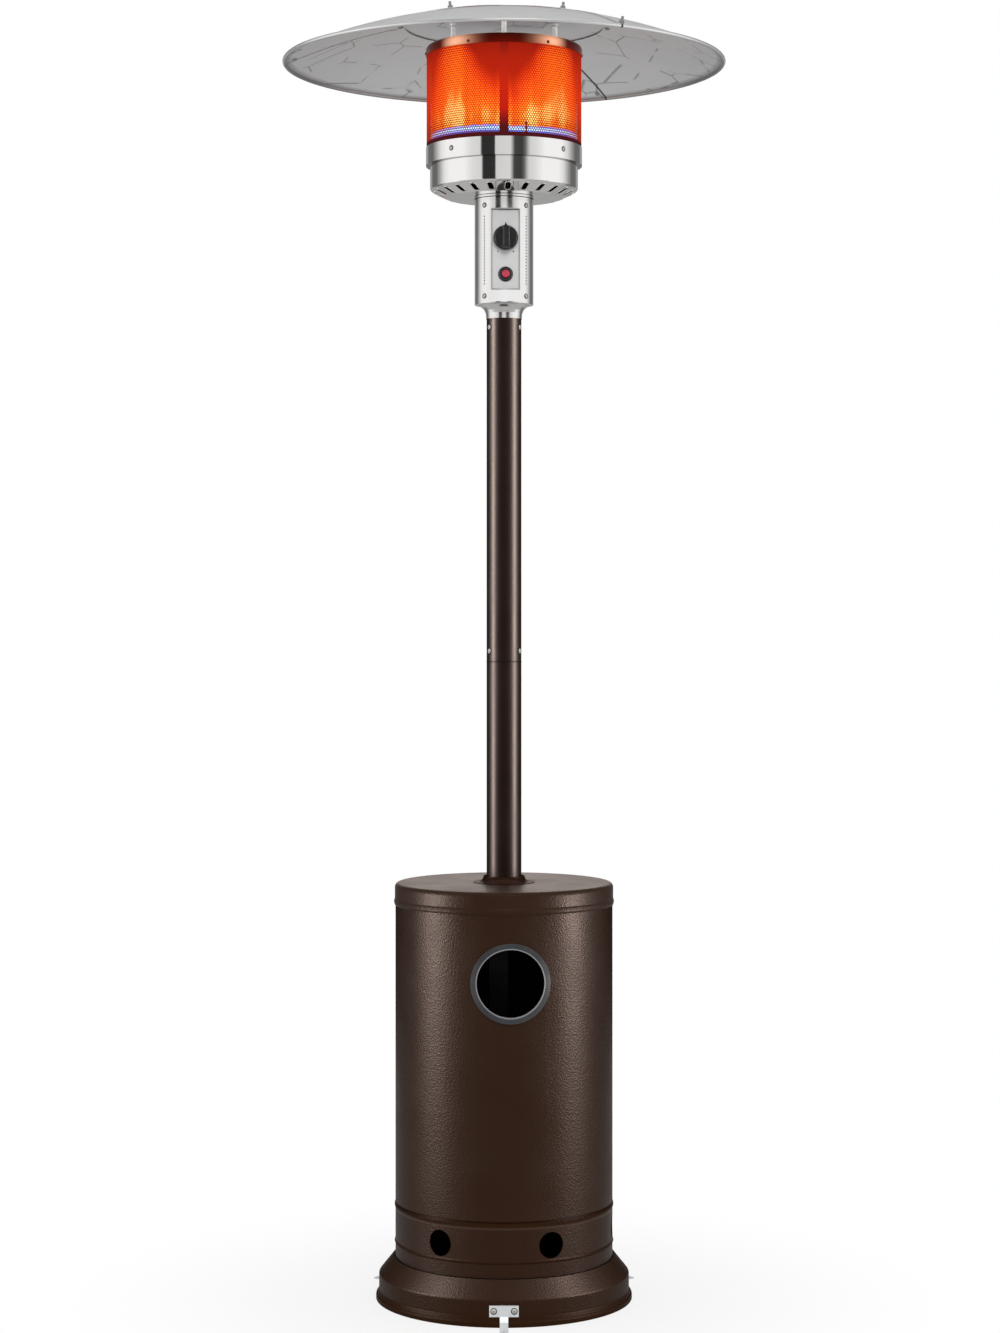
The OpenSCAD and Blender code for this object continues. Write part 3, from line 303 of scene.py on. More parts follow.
def moved(shape, **transform):
    """Shape with a translation, rotation or scale."""
    return geo(shape.id_data, "Transform", {"Geometry": shape, **transform})


def joined(*shapes):
    """Shapes as one."""
    tree = tree_of(shapes)
    made = put(tree, "GeometryNodeJoinGeometry")
    for shape in shapes:
        tree.links.new(shape, made.inputs[0])
    return made.outputs[0]


def store(shape, name, value, kind, domain):
    """Shape with a named value on its points or faces."""
    values = {"Geometry": shape, "Name": name, "Value": value}
    return geo(shape.id_data, "StoreNamedAttribute", values, data_type=kind, domain=domain)


def stored(tree, name, kind):
    """Named value that points or faces hold."""
    return geo(tree, "InputNamedAttribute", {"Name": name}, data_type=kind)


def repeat(points, shape, **settings):
    """Real copies of a shape, one on each point."""
    values = {"Points": points, "Instance": shape, **settings}
    copies = geo(points.id_data, "InstanceOnPoints", values)
    return geo(points.id_data, "RealizeInstances", {"Geometry": copies})


def coat(shape, material, **selected):
    """Shape with a material on its faces, or on selected ones."""
    return geo(shape.id_data, "SetMaterial", {"Geometry": shape, "Material": material, **selected})


def show(name, data):
    """Object of a mesh, lamp or camera, put in the scene."""
    made = bpy.data.objects.new(name, data)
    bpy.context.scene.collection.objects.link(made)
    return made


def grow(name, tree, mesh, values):
    """Runs a tree on a mesh with its inputs set and returns the result as a plain mesh object."""
    seed = show(name + "_seed", mesh)
    modifier = seed.modifiers.new("nodes", "NODES")
    modifier.node_group = tree
    for item in tree.interface.items_tree:
        if item.in_out == "INPUT" and item.name in values:
            modifier[item.identifier] = values[item.name]
    ready = seed.evaluated_get(bpy.context.evaluated_depsgraph_get())
    plain = bpy.data.meshes.new_from_object(ready)
    bpy.data.objects.remove(seed)
    plain.name = name
    return show(name, plain)


def facing_points(name, places):
    """Mesh of loose points, each with the direction that it faces."""
    mesh = bpy.data.meshes.new(name)
    mesh.from_pydata([point for point, _ in places], [], [])
    facing = mesh.attributes.new("facing", "FLOAT_VECTOR", "POINT")
    for i, (_, direction) in enumerate(places):
        facing.data[i].vector = direction
    return mesh


def around(angle, radius, height, sideways=0.0):
    """Point at an angle from the front, which faces -Y, and the outward direction there."""
    outward = Vector((sin(radians(angle)), -cos(radians(angle)), 0))
    along = Vector((cos(radians(angle)), sin(radians(angle)), 0))
    return outward * radius + along * sideways + Vector((0, 0, height)), outward


screw_tree, given, out = start_tree(
    "Cross-recess screws", Float=["Head Radius", "Head Height", "Shank Radius", "Reach", "Shadow Share"],
    Material=["Steel", "Shadow"])
radius, height, reach = given["Head Radius"], given["Head Height"], given["Reach"]
ball = geo(screw_tree, "MeshUVSphere", {"Segments": 24, "Rings": 12, "Radius": 1.0})
dome = moved(ball, Scale=xyz(X=radius, Y=radius, Z=height))
wide = times(radius, 3.0)
under_box = geo(screw_tree, "MeshCube", {"Size": xyz(X=wide, Y=wide, Z=times(height, 2.0))})
under = moved(under_box, Translation=xyz(Z=times(height, -0.9)))
arm_l = times(radius, 1.15)
arm_w = times(radius, 0.26)
arm_box = geo(screw_tree, "MeshCube", {"Size": xyz(X=arm_l, Y=arm_w, Z=height)})
arm_at = xyz(Z=height)
arms = [moved(arm_box, Translation=arm_at, Rotation=(0, 0, radians(turn))) for turn in (25, 115)]
head = put(screw_tree, "GeometryNodeMeshBoolean", {"Mesh 1": dome}, operation="DIFFERENCE")
for cutter in (under, *arms):
    feed(head, Mesh_2=cutter)
shank = geo(screw_tree, "MeshCylinder", {"Vertices": 12, "Radius": given["Shank Radius"], "Depth": reach})
shank_low = moved(shank, Translation=xyz(Z=times(reach, -0.49)))
# A thin near-black disc under each head is a painted shadow; where it is wider than the head it shows as a
# dark ring.
seat_r = times(radius, given["Shadow Share"])
seat_disc = geo(screw_tree, "MeshCylinder", {"Vertices": 20, "Radius": seat_r, "Depth": 0.0004})
seat = store(seat_disc, "seat", True, "BOOLEAN", "FACE")
screw_shape = joined(head.outputs["Mesh"], shank_low, seat)
facing = stored(screw_tree, "facing", "FLOAT_VECTOR")
aim = put(screw_tree, "FunctionNodeAlignRotationToVector", {"Vector": facing}, axis="Z").outputs[0]
screws = repeat(given["Geometry"], screw_shape, Rotation=aim)
coated = coat(screws, given["Steel"])
seated = coat(coated, given["Shadow"], Selection=stored(screw_tree, "seat", "BOOLEAN"))
feed(out, Geometry=seated)


def fit_screws(node, places, size, reach, steel=bright_zinc, seat_share=1.24):
    """Screws with a cross recess in place of a node of plain ones, on the stand, each over a thin dark disc
    that is a painted shadow round its head.
    """
    sizes = dict(zip(("Head Radius", "Head Height", "Shank Radius"), size))
    made = grow(node + "_heads", screw_tree, facing_points(node + "_places", places), {
        **sizes, "Reach": reach, "Shadow Share": seat_share, "Steel": steel, "Shadow": gap_and_shadow_black})
    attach(made, "stand")
    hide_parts(node)


bracket_turns = [-3.5, 116.5, 236.5]
bar_r, bar_z, screw_side = 0.2316, 0.0282, 0.018
large_screw, small_screw = (0.0048, 0.003, 0.0025), (0.004, 0.0024, 0.002)
fit_screws("anchor_screws", [around(turn, bar_r, bar_z, side) for turn in bracket_turns
                             for side in (-screw_side, screw_side)], large_screw, reach=0.008)


# Support frame: three folded channel legs bolted to the tray carry a round plate over the bottle.
# Legs and plate are mild steel in satin black paint, and their M8 bolts and nuts are plated.

satin_black = one_colour("satin_black", (0.012, 0.012, 0.012), 20.0, rough=(0.42, 0.58))
tree, shader = nodes_of(satin_black)
orange_peel = use(tree, hammer, {"Cell Size": 0.003})["Height"]
relief(shader, orange_peel, 0.12, 0.0003)
dress(satin_black, "support_leg_1", "support_leg_2", "support_leg_3", "top_plate")
dress(bright_zinc, "leg_foot_bolts", "leg_head_bolts", "flange_bolts")


# Post: two steel tubes that meet at a seam, the lower one with a foot flange and a spigot welded inside.
# The tubes have a smoother, glossier coat of the same bronze; three screws hold each joint.

bronze_tube = hammered_paint("bronze_tube", (0.0095, 0.0026, 0.0010), (0.0125, 0.0038, 0.0016),
                             cell=0.0034, depth=0.05, rough=(0.36, 0.41), shine=0.17)
dress(bronze_tube, "lower_post", "upper_post")
full_turn = 2 * pi


def keep(name, shape, material, smooth_below=35):
    """Makes an object of a shape, smooth except at edges sharper than an angle."""
    mesh = bpy.data.meshes.new(name)
    shape.to_mesh(mesh)
    shape.free()
    mesh.materials.append(material)
    mesh.polygons.foreach_set("use_smooth", [True] * len(mesh.polygons))
    mesh.set_sharp_from_angle(angle=radians(smooth_below))
    return show(name, mesh)


def curved_strip(radius, sheet, low, high, first=0, last=full_turn, count=96, dip=0.0):
    """Part of a rolled cylinder between two heights and two angles, which can dip in at the pilot group."""
    pilot_turn, pilot_spread = radians(15), radians(24)
    shape = bmesh.new()
    rows_of = []
    for i in range(count + 1):
        turn = first + (last - first) * i / count
        outward = Vector((sin(turn), -cos(turn), 0))
        near_pilot = (turn + pi) % full_turn - pi - pilot_turn
        outer = radius - dip * exp(-(near_pilot / pilot_spread) ** 2)
        inner = outer - sheet
        rows_of.append([shape.verts.new(outward * r + Vector((0, 0, h)))
                        for r, h in ((outer, low), (outer, high), (inner, high), (inner, low))])
    for near, far in zip(rows_of, rows_of[1:]):
        for i in range(4):
            shape.faces.new((near[i], far[i], far[(i + 1) % 4], near[(i + 1) % 4]))
    if last - first < full_turn - 0.001:
        shape.faces.new(rows_of[0])
        shape.faces.new(rows_of[-1][::-1])
    bmesh.ops.remove_doubles(shape, verts=shape.verts, dist=1e-6)
    bmesh.ops.recalc_face_normals(shape, faces=shape.faces)
    return shape


seam_line = keep("post_seam_line", curved_strip(0.0322, 0.0004, 1.1657, 1.1673, count=64), gap_and_shadow_black)
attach(seam_line, "stand")
post_r, post_turns = 0.032, [-60, 60, 180]
for node, height in (("post_joint_screws", 1.186), ("neck_screws", 1.780)):
    fit_screws(node, [around(turn, post_r, height) for turn in post_turns], large_screw, reach=0.006)


# Bottle housing: a rolled shell with two beads and six air holes, closed by a lid with a collar.
# The collar slides on the post, so the whole housing lifts; the grey trim ring frames its window.

def lay_over(shader, share, colour):
    """Lays a colour over a shader's base colour, by a share."""
    bare = shader.inputs["Base Color"].links[0].from_socket
    feed(shader, Base_Color=blend(share, bare, colour))


bronze_sheet = hammered_paint("bronze_sheet", *bronze_tones, cell=0.0030, depth=0.44, rough=(0.36, 0.44),
                              shine=0.11)
tree, shader = nodes_of(bronze_sheet)
height = height_in(tree)
# Painted shadow: the shell's bottom few millimetres, where it sits on the base pan, are darkened and dulled.
painted_gap_shadow = remap(height, 0.0775, 0.0785, 0.12)
for label in ("Base Color", "Specular IOR Level"):
    dim(shader, label, painted_gap_shadow)
for bead_z, bead_half, left in ((0.1055, 0.003, 0.22), (0.1745, 0.0045, 0.12)):
    away = calc("ABSOLUTE", calc("ADD", height, -bead_z))
    dim(shader, "Specular IOR Level", remap(away, bead_half * 0.8, bead_half * 1.3, left))
# A painted shadow line above the upper bead and a painted highlight line below it.
for painted_line_z, painted_line_half, tone in ((0.1765, 0.0014, (0.0120, 0.0048, 0.0021)),
                                (0.1655, 0.0016, (0.052, 0.029, 0.018))):
    away = calc("ABSOLUTE", calc("ADD", height, -painted_line_z))
    lay_over(shader, remap(away, painted_line_half * 0.6, painted_line_half * 1.5, 1.0, 0.0), tone)
dress(bronze_sheet, "housing_shell", "housing_lid", "lid_collar")
trim_grey = rolled_metal("trim_grey", (0.025, 0.027, 0.030), (0.038, 0.041, 0.046),
                         rough=(0.30, 0.42), lines=(300.0, 300.0), depth=0.04, metallic=0.3)
tree, shader = nodes_of(trim_grey)
window_z = 0.5995
# Painted highlight: a light line along the ring's inner edge.
from_middle = vec_calc("ADD", place_in(tree), (0.0, 0.0, -window_z))
reach = vec_calc("LENGTH", vec_calc("MULTIPLY", from_middle, (1.0, 0.0, 1.0)))
lay_over(shader, remap(reach, 0.0612, 0.0630, 0.8, 0.0), (0.34, 0.35, 0.37))
dress(trim_grey, "window_ring")


# Control head: a stainless neck, a rolled stainless housing with two columns of small holes on each side,
# and a satin grey panel set in its front. Eight small screws join neck, housing and burner bowl.

head_steel, head_wall = [
    rolled_metal(name, (0.80, 0.79, 0.775), (0.87, 0.86, 0.845),
                 rough=(0.14, 0.20), lines=(700.0, 12.0), depth=0.03)
    for name in ("head_steel", "head_wall")]
dress(head_steel, "neck_collar")
tree, shader = nodes_of(head_wall)
# Painted shade: the housing's inside face, seen through its small holes, is darkened to near black.
dim(shader, "Base Color", remap(reach_in(tree), 0.0533, 0.0537, 0.05))
dress(head_wall, "control_housing")
panel_grey = rolled_metal("panel_grey", (0.60, 0.60, 0.60), (0.69, 0.69, 0.69),
                          rough=(0.36, 0.46), lines=(900.0, 25.0), depth=0.05, metallic=0.5)
dress(panel_grey, "control_panel")
# Painted shadow: a thin near-black frame on the panel's edge stands for the shade in the recess round the
# panel.
shadow_frame_shape = bmesh.new()
for x, z, wide, tall in ((-0.0255, 1.9195, 0.0022, 0.1490), (0.0255, 1.9195, 0.0022, 0.1490),
                         (0.0, 1.8462, 0.0514, 0.0024), (0.0, 1.9928, 0.0514, 0.0024)):
    bar = bmesh.ops.create_cube(shadow_frame_shape, size=1.0)["verts"]
    bmesh.ops.scale(shadow_frame_shape, vec=(wide, 0.0012, tall), verts=bar)
    bmesh.ops.translate(shadow_frame_shape, vec=(x, -0.0454, z), verts=bar)
lap_z = 2.0162
for name, shape, material, slot in (
        ("panel_shadow_line", shadow_frame_shape, gap_and_shadow_black, "black_plastic"),
        ("housing_lap_bead", curved_strip(0.0548, 0.0009, lap_z, 2.0182), head_steel, "polished_steel"),
        ("housing_lap_line", curved_strip(0.0543, 0.0004, 2.0150, lap_z), gap_and_shadow_black, "black_plastic")):
    trim = keep(name, shape, material)
    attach(trim, "stand")
head_r, quarter_turns = 0.054, [45, 135, 225, 315]
fit_screws("control_housing_screws", [around(turn, head_r, height) for turn in quarter_turns
                                      for height in (1.8347, 2.0007)], small_screw, reach=0.006)


# Plain label: a blank sticker of white vinyl film across the front of the housing, under the panel.
# It is pressed on by hand, so the film is slightly wavy.

white_vinyl, tree, shader = finish("white_vinyl", Specular_IOR_Level=0.4)
waves = noise(place_in(tree), 90.0, 3.0)
feed(shader, Base_Color=blend(waves, (0.78, 0.77, 0.77), (0.87, 0.86, 0.86)))
uneven(shader, 60.0, 0.30, 0.42)
relief(shader, waves, 0.12, 0.0004)
label_half = radians(32)
label = keep("plain_label", curved_strip(0.0542, 0.00018, 1.8237, 1.8446, -label_half, label_half, 24),
             white_vinyl)
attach(label, "stand")


# Gas valve: a brass body screwed behind the panel, with an inlet for the hose below and an injector above.
# Its plug turns in the body, and the steel stem slides in the plug.

turned_brass = rolled_metal("turned_brass", (0.42, 0.28, 0.10), (0.60, 0.43, 0.18),
                            rough=(0.24, 0.36), lines=(200.0, 800.0), depth=0.06)
dress(turned_brass, "gas_valve", "valve_plug", "gas_inlet", "injector", "pilot_burner")
dress(bright_zinc, "valve_screws", "valve_stem")


# Control knob: one moulding in black plastic, with a round skirt, a pointer and a tall grip bar.
# It is pressed on the keyed stem, so it turns with the plug and can be pushed in.

black_plastic = one_colour("black_plastic", (0.006, 0.006, 0.0065), 60.0, rough=(0.34, 0.46),
                           Specular_IOR_Level=0.35)
tree, shader = nodes_of(black_plastic)
relief(shader, noise(place_in(tree), 1600.0, 2.0), 0.12, 0.0002)


def turned_shape(profile, count):
    """Closed shape spun about +Z from (radius, height) points that start and end on the axis."""
    shape = bmesh.new()
    turns = [full_turn * i / count for i in range(count)]
    rings = []
    for radius, height in profile:
        if radius == 0:
            rings.append([shape.verts.new((0, 0, height))])
        else:
            rings.append([shape.verts.new((radius * cos(turn), radius * sin(turn), height))
                          for turn in turns])
    for low, high in zip(rings, rings[1:]):
        for i in range(count):
            j = (i + 1) % count
            corners = [low[i % len(low)], low[j % len(low)], high[j % len(high)], high[i % len(high)]]
            shape.faces.new(list(dict.fromkeys(corners)))
    bmesh.ops.recalc_face_normals(shape, faces=shape.faces)
    return shape


knob_y, knob_z = -0.05145, 1.9400
knob_shape = turned_shape([
    (0, 0.004), (0.0175, 0.004), (0.0175, 0.0006), (0.0181, 0), (0.0220, 0), (0.0226, 0.0005),
    (0.02275, 0.0012), (0.0224, 0.0046), (0.0219, 0.0056), (0.0212, 0.0071), (0.0204, 0.0085),
    (0.0197, 0.0092), (0.0188, 0.0095), (0, 0.0095)], 64)
grip = bmesh.new()
bmesh.ops.create_cube(grip, size=1)
for v in grip.verts:
    wide, tall, level = (0.0110, 0.0360, 0.0269) if v.co.z > 0 else (0.0180, 0.0418, 0.0060)
    v.co = Vector((v.co.x * wide, v.co.y * tall, level))
upper_edges = [e for e in grip.edges if max(v.co.z for v in e.verts) > 0.02]
bmesh.ops.bevel(grip, geom=upper_edges, offset=0.0022, segments=4, profile=0.5, affect="EDGES")
pointer = bmesh.new()
tip = [pointer.verts.new((x, y, z)) for z in (0.0010, 0.0056)
       for x, y in ((-0.0034, 0.0195), (0.0034, 0.0195), (0.0010, 0.0258), (-0.0010, 0.0258))]
pointer.faces.new(tip[3::-1])
pointer.faces.new(tip[4:])
for i in range(4):
    pointer.faces.new((tip[i], tip[(i + 1) % 4], tip[(i + 1) % 4 + 4], tip[i + 4]))
bmesh.ops.bevel(pointer, geom=list(pointer.edges), offset=0.0005, segments=2, profile=0.5, affect="EDGES")
for extra in (grip, pointer):
    extra_mesh = bpy.data.meshes.new("knob_extra")
    extra.to_mesh(extra_mesh)
    extra.free()
    knob_shape.from_mesh(extra_mesh)
    bpy.data.meshes.remove(extra_mesh)
to_front = Matrix.Translation((0, knob_y, knob_z)) @ Matrix.Rotation(pi / 2, 4, "X")
bmesh.ops.transform(knob_shape, matrix=to_front, verts=knob_shape.verts)
knob = keep("knob_moulding", knob_shape, black_plastic)
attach(knob, "knob")
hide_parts("control_knob")


# Panel marks: three printed dots at the knob's stops, larger as the flame grows.
# They are a thin film of dark grey ink on the panel.

dark_ink = rolled_metal("dark_ink", (0.05, 0.05, 0.05), (0.09, 0.09, 0.09),
                        rough=(0.5, 0.6), lines=(300.0, 300.0), depth=0.02, metallic=0.0)
mark_tree, given, out = start_tree("Printed dots", Float=["Film"], Material=["Ink"])
dot = geo(mark_tree, "MeshCylinder", {"Vertices": 20, "Radius": 1.0, "Depth": given["Film"]})
dot_size = stored(mark_tree, "size", "FLOAT")
dot_scale = xyz(X=dot_size, Y=dot_size, Z=1.0)
dots = repeat(given["Geometry"], dot, Rotation=(pi / 2, 0, 0), Scale=dot_scale)
feed(out, Geometry=coat(dots, given["Ink"]))
mark_places = bpy.data.meshes.new("mark_places")
stops = [(0, 0.0008), (150, 0.0011), (210, 0.0015)]
marks_r, panel_y = 0.0285, -0.0456
mark_places.from_pydata([(-marks_r * sin(radians(turn)), panel_y, knob_z + marks_r * cos(radians(turn)))
                         for turn, _ in stops], [], [])
sizes = mark_places.attributes.new("size", "FLOAT", "POINT")
for i, (_, size) in enumerate(stops):
    sizes.data[i].value = size
marks = grow("panel_marks", mark_tree, mark_places, {"Film": 0.0001, "Ink": dark_ink})
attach(marks, "stand")


# Igniter: a moulded barrel held in the panel by a black bezel, with a red button that is pressed in.
# The tilt switch, a pale moulding with a terminal, is clipped to the back of the housing.

dress(black_plastic, "igniter_barrel")
dress(one_colour("bezel_black", (0.006, 0.006, 0.0065), 90.0, rough=(0.10, 0.18), Specular_IOR_Level=0.7),
      "igniter_bezel")
dress(one_colour("red_plastic", (0.52, 0.014, 0.055), 80.0, rough=(0.22, 0.34), Coat_Weight=0.4),
      "igniter_button")
dress(one_colour("pale_plastic", (0.62, 0.60, 0.54), 50.0, rough=(0.40, 0.55)), "tilt_switch")


# Burner bowl and band: spun stainless, polished bright and sooted inside. The bowl's sloping underside has
# a ring of air slots with small rolled rims from the punch; the band is a plain hoop with four screws.

mirror_steel, bowl_steel = [
    rolled_metal(name, (0.85, 0.84, 0.825), (0.89, 0.88, 0.865),
                 rough=(0.035, 0.07), lines=(18.0, 18.0), depth=0.02)
    for name in ("mirror_steel", "bowl_steel")]
tree, shader = nodes_of(bowl_steel)
burner_z = 2.06
from_burner = vec_calc("ADD", place_in(tree), (0.0, 0.0, -burner_z))
faces = put(tree, "ShaderNodeNewGeometry").outputs["Normal"]
faces_out = vec_calc("DOT_PRODUCT", from_burner, faces)
dim(shader, "Base Color", remap(faces_out, -0.002, 0.002, 0.05))
dress(bowl_steel, "burner_bowl", "burner_band")
rim_tree, given, out = start_tree(
    "Slot rims", Int=["Count"], Float=["Radius", "Height", "Length", "Width", "Wire", "Slope"],
    Material=["Steel"])
box = geo(rim_tree, "CurvePrimitiveQuadrilateral", {"Width": given["Length"], "Height": given["Width"]})
corner = times(given["Width"], 0.49)
rounded = geo(rim_tree, "FilletCurve", {"Curve": box, "Count": 5, "Radius": corner}, mode="POLY")
wire = geo(rim_tree, "CurvePrimitiveCircle", {"Resolution": 6, "Radius": given["Wire"]})
rim = geo(rim_tree, "CurveToMesh", {"Curve": rounded, "Profile Curve": wire})
rim_at = xyz(X=given["Radius"], Z=given["Height"])
leaning = moved(rim, Translation=rim_at, Rotation=xyz(Y=times(given["Slope"], -1.0)))
spots = geo(rim_tree, "MeshLine", {"Count": given["Count"], "Offset": (0, 0, 0)})
step = calc("DIVIDE", full_turn, given["Count"])
turn = times(geo(rim_tree, "InputIndex"), step)
rims = repeat(spots, leaning, Rotation=xyz(Z=turn))
smooth = geo(rim_tree, "SetShadeSmooth", {"Geometry": rims})
feed(out, Geometry=coat(smooth, given["Steel"]))
slot_rims = grow("slot_rims", rim_tree, bpy.data.meshes.new("slot_rim_seed"), {
    "Count": 24, "Radius": 0.1183, "Height": 2.0248, "Length": 0.0252, "Width": 0.0108, "Wire": 0.0009,
    "Slope": radians(25), "Steel": mirror_steel})
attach(slot_rims, "stand")
band_r = 0.1435
fit_screws("band_screws", [around(turn, band_r, 2.0944) for turn in quarter_turns], small_screw, reach=0.006)


# Burner: injector jet, venturi tube, pan and slotted plate, held by a dished support in the bowl's neck.
# They are plain stainless, tinted by heat; the pilot tube, probe and spark rod stand beside the pan.

burner_steel = rolled_metal("burner_steel", (0.30, 0.26, 0.23), (0.46, 0.43, 0.40),
                            rough=(0.28, 0.42), lines=(90.0, 500.0), depth=0.06)
dress(burner_steel, "burner_support", "venturi", "burner_pan", "burner_plate", "pilot_bracket")
probe_steel = rolled_metal("probe_steel", (0.16, 0.09, 0.06), (0.30, 0.19, 0.13),
                           rough=(0.30, 0.45), lines=(90.0, 300.0), depth=0.06)
dress(probe_steel, "thermocouple")
dress(one_colour("white_glaze", (0.66, 0.63, 0.58), 90.0, rough=(0.18, 0.30), Coat_Weight=0.5),
      "spark_electrode")


# Emitter screen: a cylinder of finely perforated steel at red heat, lapped along one seam at the front.
# Its outside glows deep red, and the hotter inside shows orange through the holes.

screen_r, screen_sheet = 0.1423, 0.0008
screen_low, screen_high = 2.0784, 2.2904
seam_turn = radians(-3.5)
columns_round, rows = 194, 41
perforated_low = 2.1182
cell_w = full_turn * screen_r / columns_round
cell_r = cell_w / sqrt(3)
row_share = 1.5

glow, given, out = effect("Heat", {"Low": 2.11, "High": 2.29, "Streaks": 20.0},
                          ["Height", "Streak", "Front", "Flank", "Side"])
squeezed = vec_calc("MULTIPLY", place_in(glow), (1.0, 1.0, 0.16))
outward = vec_calc("NORMALIZE", level_in(glow))
toward = vec_calc("DOT_PRODUCT", outward, (sin(seam_turn), -cos(seam_turn), 0))
# Glint Flank marks two fixed bands, 38 degrees either side of the front, that carry the cap's painted
# highlight.
off_glint_band = calc("ABSOLUTE", calc("SUBTRACT", toward, cos(radians(38))))
feed(out, Height=remap(height_in(glow), given["Low"], given["High"]),
     Streak=noise(squeezed, given["Streaks"], 3.0),
     Front=remap(toward, 0.75, 1.0, kind="SMOOTHSTEP"),
     Flank=remap(off_glint_band, 0.0, 0.2, 1.0, 0.0, "SMOOTHSTEP"),
     Side=remap(calc("ABSOLUTE", toward), 0.22, 0.6, 1.0, 0.0))


def heat_in(tree, low, high, streaks):
    """Masks of the heat between two heights."""
    return use(tree, glow, {"Low": low, "High": high, "Streaks": streaks})


def by_level(level, stops):
    """Colour by a level, through (place, colour) stops. A colour can be one number, a grey."""
    ramp = put(level.id_data, "ShaderNodeValToRGB", {"Fac": level})
    for _ in stops[2:]:
        ramp.color_ramp.elements.new(0.5)
    for element, (place, colour) in zip(ramp.color_ramp.elements, stops):
        element.position = place
        element.color = (*colour, 1) if isinstance(colour, tuple) else (colour, colour, colour, 1)
    return ramp.outputs["Color"]


def glowing(shader, colour, strength):
    """Makes a shader glow as strongly as it shows, with less of the glow on its surroundings."""
    diffuse = put(shader.id_data, "ShaderNodeLightPath").outputs["Is Diffuse Ray"]
    feed(shader, Emission_Color=colour,
         Emission_Strength=remap(diffuse, 0.0, 1.0, strength, strength * 0.1))


def hot_sheet(name, stops):
    """Oxidised sheet that glows by height."""
    material, tree, shader = finish(name, Base_Color=(0.03, 0.006, 0.004, 1), Roughness=0.85,
                                    Specular_IOR_Level=0.03)
    glowing(shader, by_level(heat_in(tree, 2.108, 2.288, 16.0)["Height"], stops), 1.0)
    return material


hot_outside = hot_sheet("hot_outside", [
    (0.0, (0.035, 0.003, 0.006)), (0.11, (0.07, 0.003, 0.005)), (0.19, (0.24, 0.004, 0.003)),
    (0.29, (0.52, 0.010, 0.002)), (0.50, (0.58, 0.017, 0.003)), (0.80, (0.42, 0.013, 0.003)),
    (1.0, (0.15, 0.005, 0.003))])
hot_inside = hot_sheet("hot_inside", [
    (0.0, (0.60, 0.06, 0.006)), (0.5, (0.70, 0.045, 0.004)), (1.0, (0.40, 0.012, 0.003))])

screen_tree, given, out = start_tree(
    "Perforated cylinder", Int=["Columns", "Rows"],
    Float=["Radius", "Low", "Cell Width", "Cell Radius", "Hole Share", "Sheet", "Middle"],
    Material=["Outside", "Inside"])
rows_less_one = calc("ADD", given["Rows"], -1.0)
columns_less_one = calc("ADD", given["Columns"], -1.0)
row_step = times(given["Cell Radius"], row_share)
grid_w = times(columns_less_one, given["Cell Width"])
grid_h = times(rows_less_one, row_step)
lattice = geo(screen_tree, "MeshGrid", {
    "Size X": grid_w, "Size Y": grid_h, "Vertices X": given["Columns"], "Vertices Y": given["Rows"]})
flat = parts_of(geo(screen_tree, "InputPosition"))
up = calc("ADD", flat["Y"], times(grid_h, 0.5))
row = calc("ROUND", calc("DIVIDE", up, row_step))
odd = calc("FLOORED_MODULO", row, 2.0)
stagger = times(odd, given["Cell Width"])
run = calc("MULTIPLY_ADD", stagger, 0.5, flat["X"])
angle = calc("ADD", calc("DIVIDE", run, given["Radius"]), given["Middle"])
x = times(calc("SINE", angle), given["Radius"])
y_out = times(calc("COSINE", angle), given["Radius"])
y = times(y_out, -1.0)
wrapped = xyz(X=x, Y=y, Z=calc("ADD", up, given["Low"]))
turned = store(lattice, "angle", angle, "FLOAT", "POINT")
points = geo(screen_tree, "SetPosition", {"Geometry": turned, "Position": wrapped})
hole_r = times(given["Cell Radius"], given["Hole Share"])
cell_lines = joined(*(geo(screen_tree, "CurvePrimitiveCircle", {"Resolution": 6, "Radius": edge_r})
                      for edge_r in (given["Cell Radius"], hole_r)))
cell = geo(screen_tree, "FillCurve", {"Curve": cell_lines}, mode="TRIANGLES")
quarter_turn = (0, 0, pi / 2)
upright = moved(cell, Rotation=quarter_turn)
back = geo(screen_tree, "FlipFaces", {"Mesh": upright})
inward = times(given["Sheet"], -1.0)
back_low = moved(back, Translation=xyz(Z=inward))
wall = geo(screen_tree, "MeshCylinder", {
    "Vertices": 6, "Radius": hole_r, "Depth": given["Sheet"]}, fill_type="NONE")
wall_in = geo(screen_tree, "FlipFaces", {"Mesh": wall})
wall_low = moved(wall_in, Translation=xyz(Z=times(inward, 0.5)), Rotation=quarter_turn)
marked = store(joined(back_low, wall_low), "inside", True, "BOOLEAN", "FACE")
cell_turn = xyz(X=pi / 2, Z=stored(screen_tree, "angle", "FLOAT"))
cells = repeat(points, joined(upright, marked), Rotation=cell_turn)
welded = geo(screen_tree, "MergeByDistance", {"Geometry": cells, "Distance": 0.0001})
red = coat(welded, given["Outside"])
orange = coat(red, given["Inside"], Selection=stored(screen_tree, "inside", "BOOLEAN"))
feed(out, Geometry=orange)
for name, first, columns in (("screen_half_1", 0, 96), ("screen_half_2", 96, 95)):
    middle = seam_turn + (1.75 + first + (columns - 1) / 2) * cell_w / screen_r
    half = grow(name, screen_tree, bpy.data.meshes.new(name + "_seed"), {
        "Radius": screen_r, "Low": perforated_low, "Columns": columns, "Rows": rows, "Cell Width": cell_w,
        "Cell Radius": cell_r, "Hole Share": 0.70, "Sheet": screen_sheet, "Middle": middle,
        "Outside": hot_outside, "Inside": hot_inside})
    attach(half, "stand")
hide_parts("emitter_screen")

